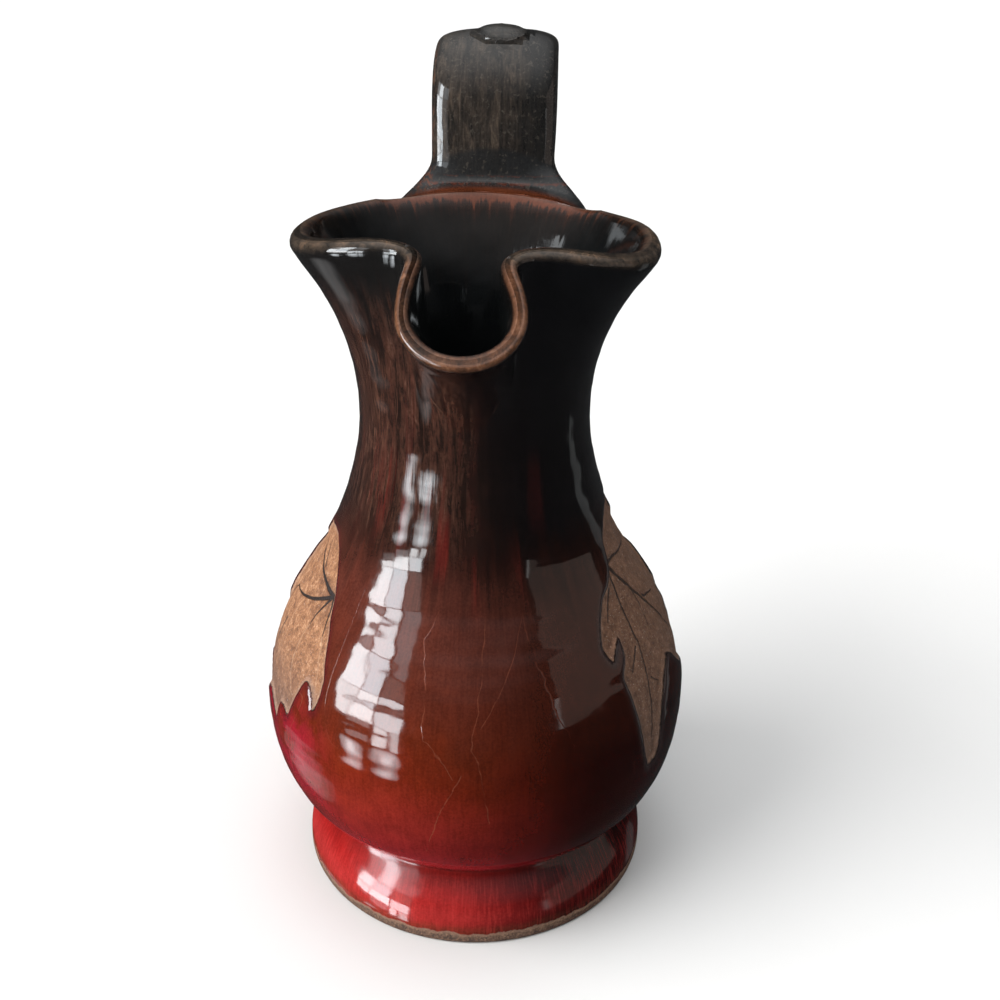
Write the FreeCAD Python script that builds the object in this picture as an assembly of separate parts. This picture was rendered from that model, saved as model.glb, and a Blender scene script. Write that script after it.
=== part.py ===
"""Stoneware pitcher with a pulled spout and a raised strap handle, in one piece.

Frame: millimetres, +Z up, origin at the centre of the foot's underside on the
axis of the body.  The spout points to -Y and the handle stands at +Y.
"""
import FreeCAD, Part
import math
import os

V = FreeCAD.Vector

# ---------------------------------------------------------------- dimensions
# Foot: a flared collar, flat underneath.
FOOT_R = 50.4            # outer radius of the collar
FOOT_EDGE = 1.6          # rounding of its lowest outer edge
CREASE_R = 44.2          # crease between collar and belly
CREASE_Z = 21.0

# Belly and neck, outside.
BELLY_R = 60.0
BELLY_Z = 57.0
NECK_R = 30.6
NECK_Z = 139.0

# Wall, and the rolled lip.
NECK_WALL = 4.8
LIP_SIDE = 3.0           # radius of the roll at the sides and back
LIP_SPOUT = 2.05         # radius of the roll round the spout
FLOOR_Z = 10.0           # inside floor

# Rim, as the centre line of the roll.
RIM_R = 43.3
RIM_Z = 182.0
RIM_TILT = 1.8           # degrees, the +X side lower
SIDE_LIFT = 1.5          # but its widest part is lifted again
SPOUT_TIP = (0.0, -54.0, 169.5)
SPOUT_X = 0.9            # the spout leans a little to +X
SPOUT_HALF_W = 13.3
PINCH_HALF_W = 10.4
SHOULDER_Y = -27.3
SHOULDER_Z = 186.3
BACK_Z = 184.0
DEFORM_Z = 118.0         # below this height the wall is round

# Handle: a strap from the back of the rim over to the belly.
STRAP_W = 35.8
STRAP_FLAT = 0.77        # squareness of its section, 1 for an ellipse
HANDLE_X = 0.5           # the strap sits a little to +X
ROOT_BLEND = 4.0         # rounding where it meets the pot

# Thumb rest: a flattened pellet of clay on the strap's top.
PELLET_R = 8.2
PELLET_H = 2.2
PELLET_AT = (1.6, 69.0)

N_ROUND = 132            # control points round the body
N_STRAP = 28             # control points round the strap

# Outer profile of the belly and neck, as radius and height.
OUTER = [
    (CREASE_R, CREASE_Z), (46.0, 22.4), (49.9, 25.4), (54.2, 30.2), (57.6, 37.5),
    (59.6, 46.5), (BELLY_R + 0.25, BELLY_Z), (59.6, 66.0), (56.6, 76.0), (51.6, 85.5),
    (45.2, 95.0), (39.6, 104.5), (35.5, 114.0), (32.6, 124.0), (31.0, 132.0),
]
# Inner profile, at the same places along the wall.
INNER = [
    (37.6, 17.6), (39.4, 21.0), (43.4, 27.4), (48.4, 34.0), (52.0, 40.8),
    (54.0, 48.6), (54.7, BELLY_Z), (54.0, 65.0), (51.2, 73.4), (46.5, 82.2),
    (40.4, 91.6), (34.8, 101.6), (30.7, 112.0), (27.9, 122.8), (26.3, 131.4),
]
# Middle of the wall from the neck to the lip, before the mouth is shaped.
FLARE = [
    (28.65, 131.7), (28.2, 139.0), (28.5, 146.5), (29.7, 154.0), (31.9, 161.5),
    (35.0, 168.6), (38.4, 174.6), (41.3, 179.0), (RIM_R, RIM_Z),
]
# Rim as (angle from the spout, x, y, z), one side of it.
RIM = [
    (0.0,) + SPOUT_TIP,
    (7.0, 7.1, -52.3, 170.6),
    (12.0, 12.0, -49.2, 174.2),
    (15.6, SPOUT_HALF_W, -45.3, 178.7),
    (18.6, 11.7, -39.8, 183.6),
    (21.6, PINCH_HALF_W, -35.6, 185.6),
    (26.0, 12.2, -31.2, 186.4),
    (32.0, 16.2, -28.5, 186.5),
    (39.5, 21.8, SHOULDER_Y, SHOULDER_Z),
    (47.5, 27.6, -25.7, 185.5),
    (56.0, 33.2, -22.6, 184.4),
    (66.0, 38.2, -17.0, 183.2),
    (78.0, 41.8, -9.0, 182.3),
    (92.0, RIM_R, 1.5, RIM_Z),
    (110.0, 40.7, 14.8, RIM_Z),
    (130.0, 33.2, 27.8, 182.2),
    (150.0, 21.7, 37.4, 182.9),
    (166.0, 10.4, 41.6, 183.8),
    (180.0, 0.0, 42.6, BACK_Z),
]
# Strap sections: the outer face of the loop at (y, z), its inner face at
# (y, z), the width, and how far its edges wrap forward round the pot.
STRAP = [
    (35.2, 168.8, 31.2, 158.5, 15.0, 0.0),      # inside the wall of the neck
    (40.5, 177.5, 41.5, 163.0, 32.0, 5.0),
    (43.8, 184.5, 52.2, 177.0, 46.0, 8.0),      # level with the rim
    (45.7, 190.8, 57.6, 188.4, 37.0, 2.0),
    (46.5, 196.5, 58.5, 195.4, STRAP_W, 0.0),
    (48.0, 204.5, 59.0, 203.0, STRAP_W, 0.0),
    (52.0, 217.5, 61.4, 211.6, STRAP_W, 0.0),
    (66.5, 227.9, 69.0, 217.1, STRAP_W, 0.0),   # the top
    (86.0, 223.2, 79.6, 214.4, 35.2, 0.0),
    (99.5, 203.0, 89.9, 199.3, 34.4, 0.0),
    (103.8, 176.0, 93.9, 176.0, 33.0, 0.0),
    (99.0, 147.0, 89.6, 150.7, 31.0, 0.0),
    (85.5, 121.0, 78.1, 127.3, 29.0, 0.0),
    (68.5, 103.6, 62.7, 111.8, 28.8, 0.5),
    (53.5, 92.4, 49.7, 106.6, 32.0, 3.0),
    (43.5, 90.5, 38.0, 101.0, 24.0, 0.0),       # inside the wall of the belly
]


# ------------------------------------------------------------------- helpers
def hermite(table, t):
    """Smooth curve through rows (t, a, b, ...), the ends mirrored in value."""
    rows = table
    i = 0
    while i < len(rows) - 2 and t > rows[i + 1][0]:
        i += 1
    p1, p2 = rows[i], rows[i + 1]
    h = p2[0] - p1[0]
    w = (t - p1[0]) / h
    out = []
    for k in range(1, len(p1)):
        if i > 0:
            m1 = (p2[k] - rows[i - 1][k]) / (p2[0] - rows[i - 1][0])
        else:
            m1 = (p2[k] - p1[k]) / h
        if i < len(rows) - 2:
            m2 = (rows[i + 2][k] - p1[k]) / (rows[i + 2][0] - p1[0])
        else:
            m2 = (p2[k] - p1[k]) / h
        w2, w3 = w * w, w * w * w
        out.append(
            (2 * w3 - 3 * w2 + 1) * p1[k] + (w3 - 2 * w2 + w) * h * m1
            + (3 * w2 - 2 * w3) * p2[k] + (w3 - w2) * h * m2
        )
    return out


def full_rim():
    """The rim's rows once round, from the back over +X... to the back again."""
    half = [(a, x, y, z) for a, x, y, z in RIM]
    other = [(360.0 - a, -x, y, z) for a, x, y, z in reversed(RIM[:-1])]
    rows = half + other
    before = [(a - 360.0, x, y, z) for a, x, y, z in rows[-4:-1]]
    after = [(a + 360.0, x, y, z) for a, x, y, z in rows[1:4]]
    return before + rows + after


RIM_ROWS = full_rim()


def lip_line(angle):
    """Centre of the lip's roll at an angle in degrees from the spout."""
    a = angle % 360.0
    total = [0.0, 0.0, 0.0]
    weights = 0.0
    for k in range(-3, 4):             # a short running mean rounds the joins
        w = math.exp(-0.5 * (k / 1.5) ** 2)
        p = hermite(RIM_ROWS, a + k * 0.9)
        weights += w
        for i in range(3):
            total[i] += w * p[i]
    x, y, z = (c / weights for c in total)
    z -= x * math.tan(math.radians(RIM_TILT))
    z += SIDE_LIFT * math.exp(-((a - 104.0) / 24.0) ** 2)
    lean = min(1.0, max(0.0, (-y - 36.0) / 9.0))
    return x + SPOUT_X * lean * lean * (3 - 2 * lean), y, z


def round_angles(n):
    """n angles round the body, closer together where the lip bends."""
    steps = 3600
    start = 90.0                       # the seam lies on the +X side
    pts = [lip_line(start + 360.0 * i / steps) for i in range(steps + 1)]
    run = [0.0]
    for a, b in zip(pts[:-1], pts[1:]):
        run.append(run[-1] + math.dist(a, b))
    out, j = [], 0
    for i in range(n):
        want = run[-1] * i / n
        while run[j + 1] < want:
            j += 1
        f = (want - run[j]) / (run[j + 1] - run[j])
        out.append(start + 360.0 * (j + f) / steps)
    # Even spacing round the body counts too, so the two are mixed.
    return [0.62 * a + 0.38 * (start + 360.0 * i / n) for i, a in enumerate(out)]


ANGLES = round_angles(N_ROUND)


def ring(r, z):
    return [V(r * math.sin(math.radians(a)), -r * math.cos(math.radians(a)), z) for a in ANGLES]


def flare_at(s):
    rows = [(i / (len(FLARE) - 1.0), r, z) for i, (r, z) in enumerate(FLARE)]
    if s <= 0.0:
        (r0, z0), (r1, z1) = FLARE[0], FLARE[1]
        k = s * (len(FLARE) - 1)
        return r0 + k * (r1 - r0), z0 + k * (z1 - z0)
    return hermite(rows, min(s, 1.0)) if s <= 1.0 else hermite(rows, 1.0)


def middle(angle, s):
    """Middle surface of the wall: s is 0 at the neck and 1 at the lip."""
    r, z = flare_at(s)
    a = math.radians(angle)
    lx, ly, lz = lip_line(angle)
    bx, by = RIM_R * math.sin(a), -RIM_R * math.cos(a)
    w = max(0.0, (z - DEFORM_Z) / (RIM_Z - DEFORM_Z))
    side = w ** 3.2                    # plan shape gathers near the lip
    rise = w ** 2.4
    return V(
        r * math.sin(a) + side * (lx - bx),
        -r * math.cos(a) + side * (ly - by),
        z + rise * (lz - RIM_Z),
    )


def frame_at(angle, s):
    """Point, outward normal and the direction up the wall."""
    e = 0.02
    p = middle(angle, s)
    if s >= 1.0 - e:
        up = (middle(angle, 1.0) - middle(angle, 1.0 - 2 * e))
    else:
        up = middle(angle, s + e) - middle(angle, s - e)
    along = middle(angle + 0.6, s) - middle(angle - 0.6, s)
    n = along.cross(up)
    n.normalize()
    up.normalize()
    if n.x * p.x + n.y * p.y < 0 and s < 0.4:
        n = n * -1.0
    return p, n, up


def lip_radius(angle):
    a = abs((angle + 180.0) % 360.0 - 180.0)
    w = min(1.0, max(0.0, (a - 14.0) / 26.0))
    w = w * w * (3 - 2 * w)
    return LIP_SPOUT + (LIP_SIDE - LIP_SPOUT) * w


def surface(rows):
    """Smooth closed surface with the given rows as its control net."""
    n, m = len(rows[0]), len(rows)
    poles = [[rows[j][i] for j in range(m)] for i in range(n)]
    s = Part.BSplineSurface()
    s.buildFromPolesMultsKnots(
        poles, [1] * (n + 1), [4] + [1] * (m - 4) + [4],
        [float(i) for i in range(n + 1)], [float(j) for j in range(m - 2)],
        True, False, 3, 3,
    )
    return s


def cap(surf, end):
    """Flat face across one end of a closed surface."""
    u0, u1, v0, v1 = surf.bounds()
    edge = surf.vIso(v0 if end == 0 else v1).toShape()
    return Part.Face(Part.Wire([edge]))


def solid_of(faces):
    shell = Part.makeShell(faces)
    shell.sewShape()
    s = Part.Solid(shell if shell.ShapeType == "Shell" else shell.Shells[0])
    if s.Volume < 0:
        s.reverse()
    return s


# ---------------------------------------------------------------------- body
def make_body():
    # From the flat underside up the collar to the crease.
    collar = [
        ring(FOOT_R - FOOT_EDGE, 0.0), ring(FOOT_R - 0.4, 0.0), ring(FOOT_R + 0.1, 0.8),
        ring(FOOT_R + 0.1, 2.6), ring(FOOT_R + 0.0, 4.8), ring(FOOT_R - 0.4, 7.4),
        ring(FOOT_R - 1.0, 10.0), ring(FOOT_R - 2.1, 12.8), ring(FOOT_R - 3.7, 15.4),
        ring(CREASE_R + 1.0, 17.8), ring(CREASE_R + 0.1, 19.6), ring(CREASE_R, CREASE_Z),
    ]
    # Outside from the crease to the neck, the lip, and down inside.
    wall = [ring(r, z) for r, z in OUTER]
    n_up = 15
    for i in range(1, n_up + 1):
        s = i / n_up
        row = []
        for a in ANGLES:
            p, n, up = frame_at(a, s)
            half = NECK_WALL / 2
            grow = max(0.0, (s - 0.62) / 0.38)
            half += (lip_radius(a) - half) * grow * grow * (3 - 2 * grow)
            row.append(p + n * half)
        wall.append(row)
    lips = []
    for k in range(1, 8):
        phi = math.pi * k / 8
        row = []
        for a in ANGLES:
            p, n, up = frame_at(a, 1.0)
            r = lip_radius(a) * 1.06
            row.append(p + n * (r * math.cos(phi)) + up * (r * math.sin(phi)))
        lips.append(row)
    wall += lips
    for i in range(n_up, 0, -1):
        s = i / n_up
        row = []
        for a in ANGLES:
            p, n, up = frame_at(a, s)
            half = NECK_WALL / 2
            grow = max(0.0, (s - 0.62) / 0.38)
            half += (lip_radius(a) - half) * grow * grow * (3 - 2 * grow)
            row.append(p - n * half)
        wall.append(row)
    wall += [ring(r, z) for r, z in reversed(INNER)]
    wall += [ring(36.4, 13.6), ring(33.8, 11.2), ring(30.0, FLOOR_Z), ring(26.0, FLOOR_Z)]

    s_collar, s_wall = surface(collar), surface(wall)
    faces = [cap(s_collar, 0), s_collar.toShape(), s_wall.toShape(), cap(s_wall, 1)]
    return solid_of(faces)


# -------------------------------------------------------------------- handle
def strap_rows(per=2):
    """The strap's sections, with some worked out between the named ones."""
    keys = [(float(i),) + row for i, row in enumerate(STRAP)]
    steps = (len(STRAP) - 1) * per
    return [hermite(keys, i / per) for i in range(steps + 1)]


def make_handle():
    rows = []
    for fy, fz, by, bz, w, wrap in strap_rows():
        cy, cz = (fy + by) / 2, (fz + bz) / 2
        hy, hz = (fy - by) / 2, (fz - bz) / 2
        row = []
        for k in range(N_STRAP):
            q = 2 * math.pi * k / N_STRAP
            c, sn = math.cos(q), math.sin(q)
            ex = math.copysign(abs(c) ** STRAP_FLAT, c) * w / 2
            en = math.copysign(abs(sn) ** STRAP_FLAT, sn)
            back = wrap * abs(c) ** (2 * STRAP_FLAT)
            row.append(V(HANDLE_X + ex, cy + hy * en - back, cz + hz * en))
        rows.append(row)
    s = surface(rows)
    return solid_of([cap(s, 0), s.toShape(), cap(s, 1)])


def strap_top(y):
    """Height of the strap's outer face at y, near its top."""
    rows = [(r[0], r[1]) for r in strap_rows(4) if r[1] > 205.0]
    rows.sort()
    return hermite(rows, y)[0]


def make_pellet():
    x, y = PELLET_AT
    base = strap_top(y) - 1.5
    pts = [V(0, 0, base + PELLET_H)]
    for k in range(1, 9):
        q = math.pi / 2 * k / 8
        pts.append(V(PELLET_R * math.sin(q), 0, base - 2.0 + (PELLET_H + 2.0) * math.cos(q) ** 0.8))
    curve = Part.BSplineCurve()
    curve.interpolate(pts)
    top = curve.toShape()
    side = Part.makeLine(pts[-1], V(PELLET_R, 0, base - 4.0))
    foot = Part.makeLine(V(PELLET_R, 0, base - 4.0), V(0, 0, base - 4.0))
    axis = Part.makeLine(V(0, 0, base - 4.0), pts[0])
    face = Part.Face(Part.Wire([top, side, foot, axis]))
    pellet = face.revolve(V(0, 0, 0), V(0, 0, 1), 360)
    pellet.translate(V(x, y, 0))
    return pellet


def joint_edges(whole, a, b):
    """Edges of the fused solid that lie on the skins of both pieces."""
    skin_a, skin_b = a.Shells[0], b.Shells[0]
    found = []
    for e in whole.Edges:
        if e.Length < 0.05 or e.Degenerated:
            continue
        f, l = e.ParameterRange
        on = True
        for k in (0.21, 0.52, 0.83):
            v = Part.Vertex(e.valueAt(f + (l - f) * k))
            if v.distToShape(skin_a)[0] > 0.02 or v.distToShape(skin_b)[0] > 0.02:
                on = False
                break
        if on:
            found.append(e)
    return found


def rounded(whole, edges, radii):
    """The solid with the edges rounded by the first radius that works."""
    length = sum(e.Length for e in edges)
    for r in radii:
        try:
            out = whole.makeFillet(r, edges)
        except Exception:
            continue
        solids = out.Solids
        added = out.Volume - whole.Volume
        if len(solids) == 1 and solids[0].isValid() and 0 < added < 0.9 * r * r * length:
            return solids[0], r
    return whole, 0.0


def main():
    os.makedirs("parts", exist_ok=True)
    body = make_body()
    handle = make_handle()
    pellet = make_pellet()
    pitcher = body.fuse(handle).Solids[0]
    edges = joint_edges(pitcher, body, handle)
    low = [e for e in edges if e.BoundBox.Center.z < 130]
    high = [e for e in edges if e.BoundBox.Center.z > 130]
    pitcher, at_belly = rounded(pitcher, low, [ROOT_BLEND, 3.0, 2.0])
    edges = joint_edges(pitcher, body, handle)
    high = [e for e in edges if e.BoundBox.Center.z > 130]
    pitcher, at_rim = rounded(pitcher, high, [3.5, 3.0, 2.8, 2.5, 2.2, 2.0, 1.5])
    print("joint edges", len(low), len(high), "rounded by", at_belly, at_rim)
    pitcher = pitcher.fuse(pellet).Solids[0]
    box = pitcher.BoundBox
    print("pitcher", pitcher.isValid(), pitcher.ShapeType, round(pitcher.Volume))
    print("box", [round(v, 2) for v in (box.XMin, box.XMax, box.YMin, box.YMax, box.ZMin, box.ZMax)])
    pitcher.exportStep("parts/pitcher.step")


main()
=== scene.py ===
import math

import bpy
import numpy as np
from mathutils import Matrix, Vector
from mathutils.kdtree import KDTree


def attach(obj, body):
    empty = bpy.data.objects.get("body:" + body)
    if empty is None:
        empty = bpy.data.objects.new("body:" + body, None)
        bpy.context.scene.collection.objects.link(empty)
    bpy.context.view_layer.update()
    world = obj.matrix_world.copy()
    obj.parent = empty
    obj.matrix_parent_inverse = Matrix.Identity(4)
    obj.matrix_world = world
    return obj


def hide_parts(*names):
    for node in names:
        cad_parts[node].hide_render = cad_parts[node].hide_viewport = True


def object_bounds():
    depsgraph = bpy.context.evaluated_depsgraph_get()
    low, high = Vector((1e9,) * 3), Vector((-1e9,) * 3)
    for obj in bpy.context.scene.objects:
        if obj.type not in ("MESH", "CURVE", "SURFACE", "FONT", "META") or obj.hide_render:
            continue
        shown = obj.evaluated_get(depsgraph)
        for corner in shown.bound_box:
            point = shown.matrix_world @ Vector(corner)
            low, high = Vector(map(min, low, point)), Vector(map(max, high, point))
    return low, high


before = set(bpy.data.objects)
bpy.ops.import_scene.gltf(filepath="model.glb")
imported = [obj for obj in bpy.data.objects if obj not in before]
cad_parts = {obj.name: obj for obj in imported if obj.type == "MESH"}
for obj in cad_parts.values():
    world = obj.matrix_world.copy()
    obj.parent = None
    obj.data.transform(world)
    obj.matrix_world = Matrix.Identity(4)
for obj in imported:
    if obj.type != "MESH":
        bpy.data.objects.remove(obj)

cad_lo, cad_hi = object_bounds()
MM = 0.001

# =====================================================================
# Camera first
# =====================================================================
def make_camera():
    data = bpy.data.cameras.new("camera")
    cam = bpy.data.objects.new("camera", data)
    bpy.context.scene.collection.objects.link(cam)
    data.sensor_fit = "HORIZONTAL"
    data.sensor_width = 36.0
    data.lens = 43.2
    data.shift_x = 0.025
    data.shift_y = -0.020
    data.clip_start, data.clip_end = 0.02, 60.0
    data.dof.use_dof = False
    phi, pitch = math.radians(5.0), math.radians(25.1)
    out, up = 0.2953, 0.2558
    cam.location = (out * math.sin(phi), -out * math.cos(phi), up)
    look = Vector((-math.cos(pitch) * math.sin(phi), math.cos(pitch) * math.cos(phi), -math.sin(pitch)))
    cam.rotation_mode = "QUATERNION"
    cam.rotation_quaternion = look.to_track_quat("-Z", "Y")
    bpy.context.scene.camera = cam
    return cam


make_camera()

# =====================================================================
# Named sizes, the same as the CAD model's, in millimetres.  Angles go
# round from the spout (-Y) towards +X.
# =====================================================================
FOOT_R, FOOT_EDGE = 50.4, 1.6
CREASE_R, CREASE_Z = 44.2, 21.0
NECK_WALL = 4.8
LIP_SIDE, LIP_SPOUT = 3.0, 2.05
FLOOR_Z = 10.0
RIM_R, RIM_Z = 43.3, 182.0
RIM_TILT, SIDE_LIFT = 1.8, 1.5
SPOUT_X = 0.9
DEFORM_Z = 118.0
STRAP_W, STRAP_FLAT, HANDLE_X = 35.8, 0.70, 0.5
PELLET_R, PELLET_H, PELLET_AT = 8.2, 2.2, (1.6, 69.0)
N_ROUND, N_STRAP = 132, 28

OUTER = [
    (44.2, 21.0), (46.0, 22.4), (49.9, 25.4), (54.2, 30.2), (57.6, 37.5),
    (59.6, 46.5), (60.25, 57.0), (59.6, 66.0), (56.6, 76.0), (51.6, 85.5),
    (45.2, 95.0), (39.6, 104.5), (35.5, 114.0), (32.6, 124.0), (31.0, 132.0),
]
INNER = [
    (37.6, 17.6), (39.4, 21.0), (43.4, 27.4), (48.4, 34.0), (52.0, 40.8),
    (54.0, 48.6), (54.7, 57.0), (54.0, 65.0), (51.2, 73.4), (46.5, 82.2),
    (40.4, 91.6), (34.8, 101.6), (30.7, 112.0), (27.9, 122.8), (26.3, 131.4),
]
FLARE = [
    (28.65, 131.7), (28.2, 139.0), (28.5, 146.5), (29.7, 154.0), (31.9, 161.5),
    (35.0, 168.6), (38.4, 174.6), (41.3, 179.0), (RIM_R, RIM_Z),
]
RIM = [
    (0.0, 0.0, -54.0, 169.5), (7.0, 7.1, -52.3, 170.6), (12.0, 12.0, -49.2, 174.2),
    (15.6, 13.3, -45.3, 178.7), (18.6, 11.7, -39.8, 183.6), (21.6, 10.4, -35.6, 185.6),
    (26.0, 12.2, -31.2, 186.4), (32.0, 16.2, -28.5, 186.5), (39.5, 21.8, -27.3, 186.3),
    (47.5, 27.6, -25.7, 185.5), (56.0, 33.2, -22.6, 184.4), (66.0, 38.2, -17.0, 183.2),
    (78.0, 41.8, -9.0, 182.3), (92.0, RIM_R, 1.5, RIM_Z), (110.0, 40.7, 14.8, RIM_Z),
    (130.0, 33.2, 27.8, 182.2), (150.0, 21.7, 37.4, 182.9), (166.0, 10.4, 41.6, 183.8),
    (180.0, 0.0, 42.6, 184.0),
]
STRAP = [
    (35.2, 168.8, 31.2, 158.5, 15.0, 0.0), (40.0, 176.5, 41.0, 162.5, 36.0, 5.0),
    (43.0, 183.2, 49.6, 173.0, 63.0, 9.5), (44.5, 186.6, 54.2, 181.5, 54.0, 6.5),
    (45.4, 189.8, 57.0, 187.4, 41.5, 2.5), (46.0, 193.0, 58.2, 192.0, 36.2, 0.6),
    (46.5, 196.5, 58.5, 195.4, STRAP_W, 0.0), (48.0, 204.5, 59.0, 203.0, STRAP_W, 0.0),
    (52.0, 217.5, 61.4, 211.6, STRAP_W, 0.0), (66.5, 227.9, 69.0, 217.1, STRAP_W, 0.0),
    (86.0, 223.2, 79.6, 214.4, 35.2, 0.0), (99.5, 203.0, 89.9, 199.3, 34.4, 0.0),
    (103.8, 176.0, 93.9, 176.0, 33.0, 0.0), (99.0, 147.0, 89.6, 150.7, 31.0, 0.0),
    (85.5, 121.0, 78.1, 127.3, 29.0, 0.0), (68.5, 103.6, 62.7, 111.8, 28.8, 0.5),
    (53.5, 92.4, 49.7, 106.6, 32.0, 3.0), (43.5, 90.5, 38.0, 101.0, 24.0, 0.0),
]

# Leaf prints: outlines as (angle, way up the wall from the belly's widest
# line), the stem's end, and the veins that fan out from it.
LEAF_K = 0.93            # millimetres of wall to one degree, near the leaves
LEFT_NODE, RIGHT_NODE = (-52.5, 42.0), (65.6, 50.1)
LEFT_LEAF = [
    (-51.0, 42.8), (-53.5, 45.4), (-57.7, 49.4), (-62.0, 52.6), (-69.0, 55.0), (-77.0, 54.8),
    (-85.4, 53.3), (-97.0, 57.0), (-93.0, 47.0), (-100.0, 46.0), (-108.0, 41.0), (-100.0, 34.0),
    (-94.0, 24.0), (-99.0, 16.0), (-102.0, 4.0), (-95.0, 3.0), (-88.0, 4.5), (-83.0, -4.0),
    (-78.0, -2.0), (-73.5, 2.5), (-68.0, 5.0), (-65.0, 2.5), (-62.3, -0.6), (-60.0, 3.0), (-58.2, 6.9),
    (-55.4, 6.6), (-53.5, 4.9), (-51.5, 9.5), (-49.5, 15.0), (-47.3, 19.3), (-44.0, 17.5),
    (-41.9, 12.8), (-41.0, 15.0), (-40.3, 18.5), (-40.6, 22.4), (-42.0, 26.0), (-44.2, 30.9),
    (-45.8, 34.2), (-48.2, 37.5),
]
RIGHT_LEAF = [
    (66.5, 52.1), (68.6, 56.9), (76.1, 60.8), (86.6, 62.7), (95.0, 64.0), (108.0, 60.0),
    (103.0, 54.5), (116.0, 54.0), (130.0, 47.0), (119.0, 43.5), (125.0, 36.0), (113.0, 36.5),
    (103.5, 31.0), (110.0, 20.0), (106.5, 18.0), (104.5, 8.5), (101.5, -1.5), (95.0, 4.5),
    (88.0, 7.0), (82.0, 11.5), (77.5, 16.5), (73.5, 18.9), (68.0, 15.3), (63.6, 9.3),
    (62.0, 3.5), (61.1, -5.3), (58.6, -6.6), (56.4, -6.5), (53.4, 2.8), (52.0, 11.1),
    (51.0, 17.9), (50.3, 23.5), (53.7, 28.3), (54.1, 33.2), (50.6, 30.6), (48.3, 28.4),
    (46.3, 33.2), (49.7, 39.3), (54.6, 44.0), (60.0, 46.0), (64.0, 48.4),
]


def hermite(rows, t):
    rows = np.asarray(rows, float)
    t = np.atleast_1d(np.asarray(t, float))
    k, v = rows[:, 0], rows[:, 1:]
    slope = np.empty_like(v)
    slope[1:-1] = (v[2:] - v[:-2]) / (k[2:] - k[:-2])[:, None]
    slope[0] = (v[1] - v[0]) / (k[1] - k[0])
    slope[-1] = (v[-1] - v[-2]) / (k[-1] - k[-2])
    i = np.minimum(np.searchsorted(k[1:], t, side="left"), len(k) - 2)
    h = k[i + 1] - k[i]
    w = ((t - k[i]) / h)[:, None]
    h = h[:, None]
    w2, w3 = w * w, w * w * w
    return ((2 * w3 - 3 * w2 + 1) * v[i] + (w3 - 2 * w2 + w) * h * slope[i]
            + (3 * w2 - 2 * w3) * v[i + 1] + (w3 - w2) * h * slope[i + 1])


def smoothstep(x, lo, hi):
    w = np.clip((np.asarray(x, float) - lo) / (hi - lo), 0.0, 1.0)
    return w * w * (3 - 2 * w)


def full_rim():
    rows = RIM + [(360.0 - a, -x, y, z) for a, x, y, z in reversed(RIM[:-1])]
    before = [(a - 360.0, x, y, z) for a, x, y, z in rows[-4:-1]]
    after = [(a + 360.0, x, y, z) for a, x, y, z in rows[1:4]]
    return np.array(before + rows + after)


RIM_ROWS = full_rim()


def lip_line(angle):
    a = np.mod(angle, 360.0)
    total, weights = 0.0, 0.0
    for k in range(-3, 4):
        w = math.exp(-0.5 * (k / 1.5) ** 2)
        total = total + w * hermite(RIM_ROWS, a + k * 0.9)
        weights += w
    p = total / weights
    p[:, 2] -= p[:, 0] * math.tan(math.radians(RIM_TILT))
    p[:, 2] += SIDE_LIFT * np.exp(-((a - 104.0) / 24.0) ** 2)
    p[:, 0] += SPOUT_X * smoothstep(-p[:, 1], 36.0, 45.0)
    return p


def round_angles(n):
    steps, start = 3600, 90.0
    a = start + 360.0 * np.arange(steps + 1) / steps
    p = lip_line(a)
    run = np.concatenate([[0.0], np.cumsum(np.linalg.norm(np.diff(p, axis=0), axis=1))])
    out = np.interp(run[-1] * np.arange(n) / n, run, a)
    return 0.62 * out + 0.38 * (start + 360.0 * np.arange(n) / n)


ANGLES = round_angles(N_ROUND)


def ring(r, z):
    a = np.radians(ANGLES)
    return np.stack([r * np.sin(a), -r * np.cos(a), np.full_like(a, z)], axis=1)


def middle(angle, s):
    rows = [(i / (len(FLARE) - 1.0), r, z) for i, (r, z) in enumerate(FLARE)]
    r, z = hermite(rows, min(max(s, 0.0), 1.0))[0]
    a = np.radians(angle)
    lip = lip_line(angle)
    base = np.stack([RIM_R * np.sin(a), -RIM_R * np.cos(a)], axis=1)
    w = max(0.0, (z - DEFORM_Z) / (RIM_Z - DEFORM_Z))
    side, rise = w ** 3.2, w ** 2.4
    return np.stack([
        r * np.sin(a) + side * (lip[:, 0] - base[:, 0]),
        -r * np.cos(a) + side * (lip[:, 1] - base[:, 1]),
        z + rise * (lip[:, 2] - RIM_Z),
    ], axis=1)


def unit(v):
    return v / np.linalg.norm(v, axis=-1, keepdims=True)


def frame_at(angle, s):
    e = 0.02
    p = middle(angle, s)
    if s >= 1.0 - e:
        up = middle(angle, 1.0) - middle(angle, 1.0 - 2 * e)
    else:
        up = middle(angle, s + e) - middle(angle, s - e)
    along = middle(angle + 0.6, s) - middle(angle - 0.6, s)
    return p, unit(np.cross(along, up)), unit(up)


def lip_radius(angle):
    a = np.abs(np.mod(angle + 180.0, 360.0) - 180.0)
    return LIP_SPOUT + (LIP_SIDE - LIP_SPOUT) * smoothstep(a, 14.0, 40.0)


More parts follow.
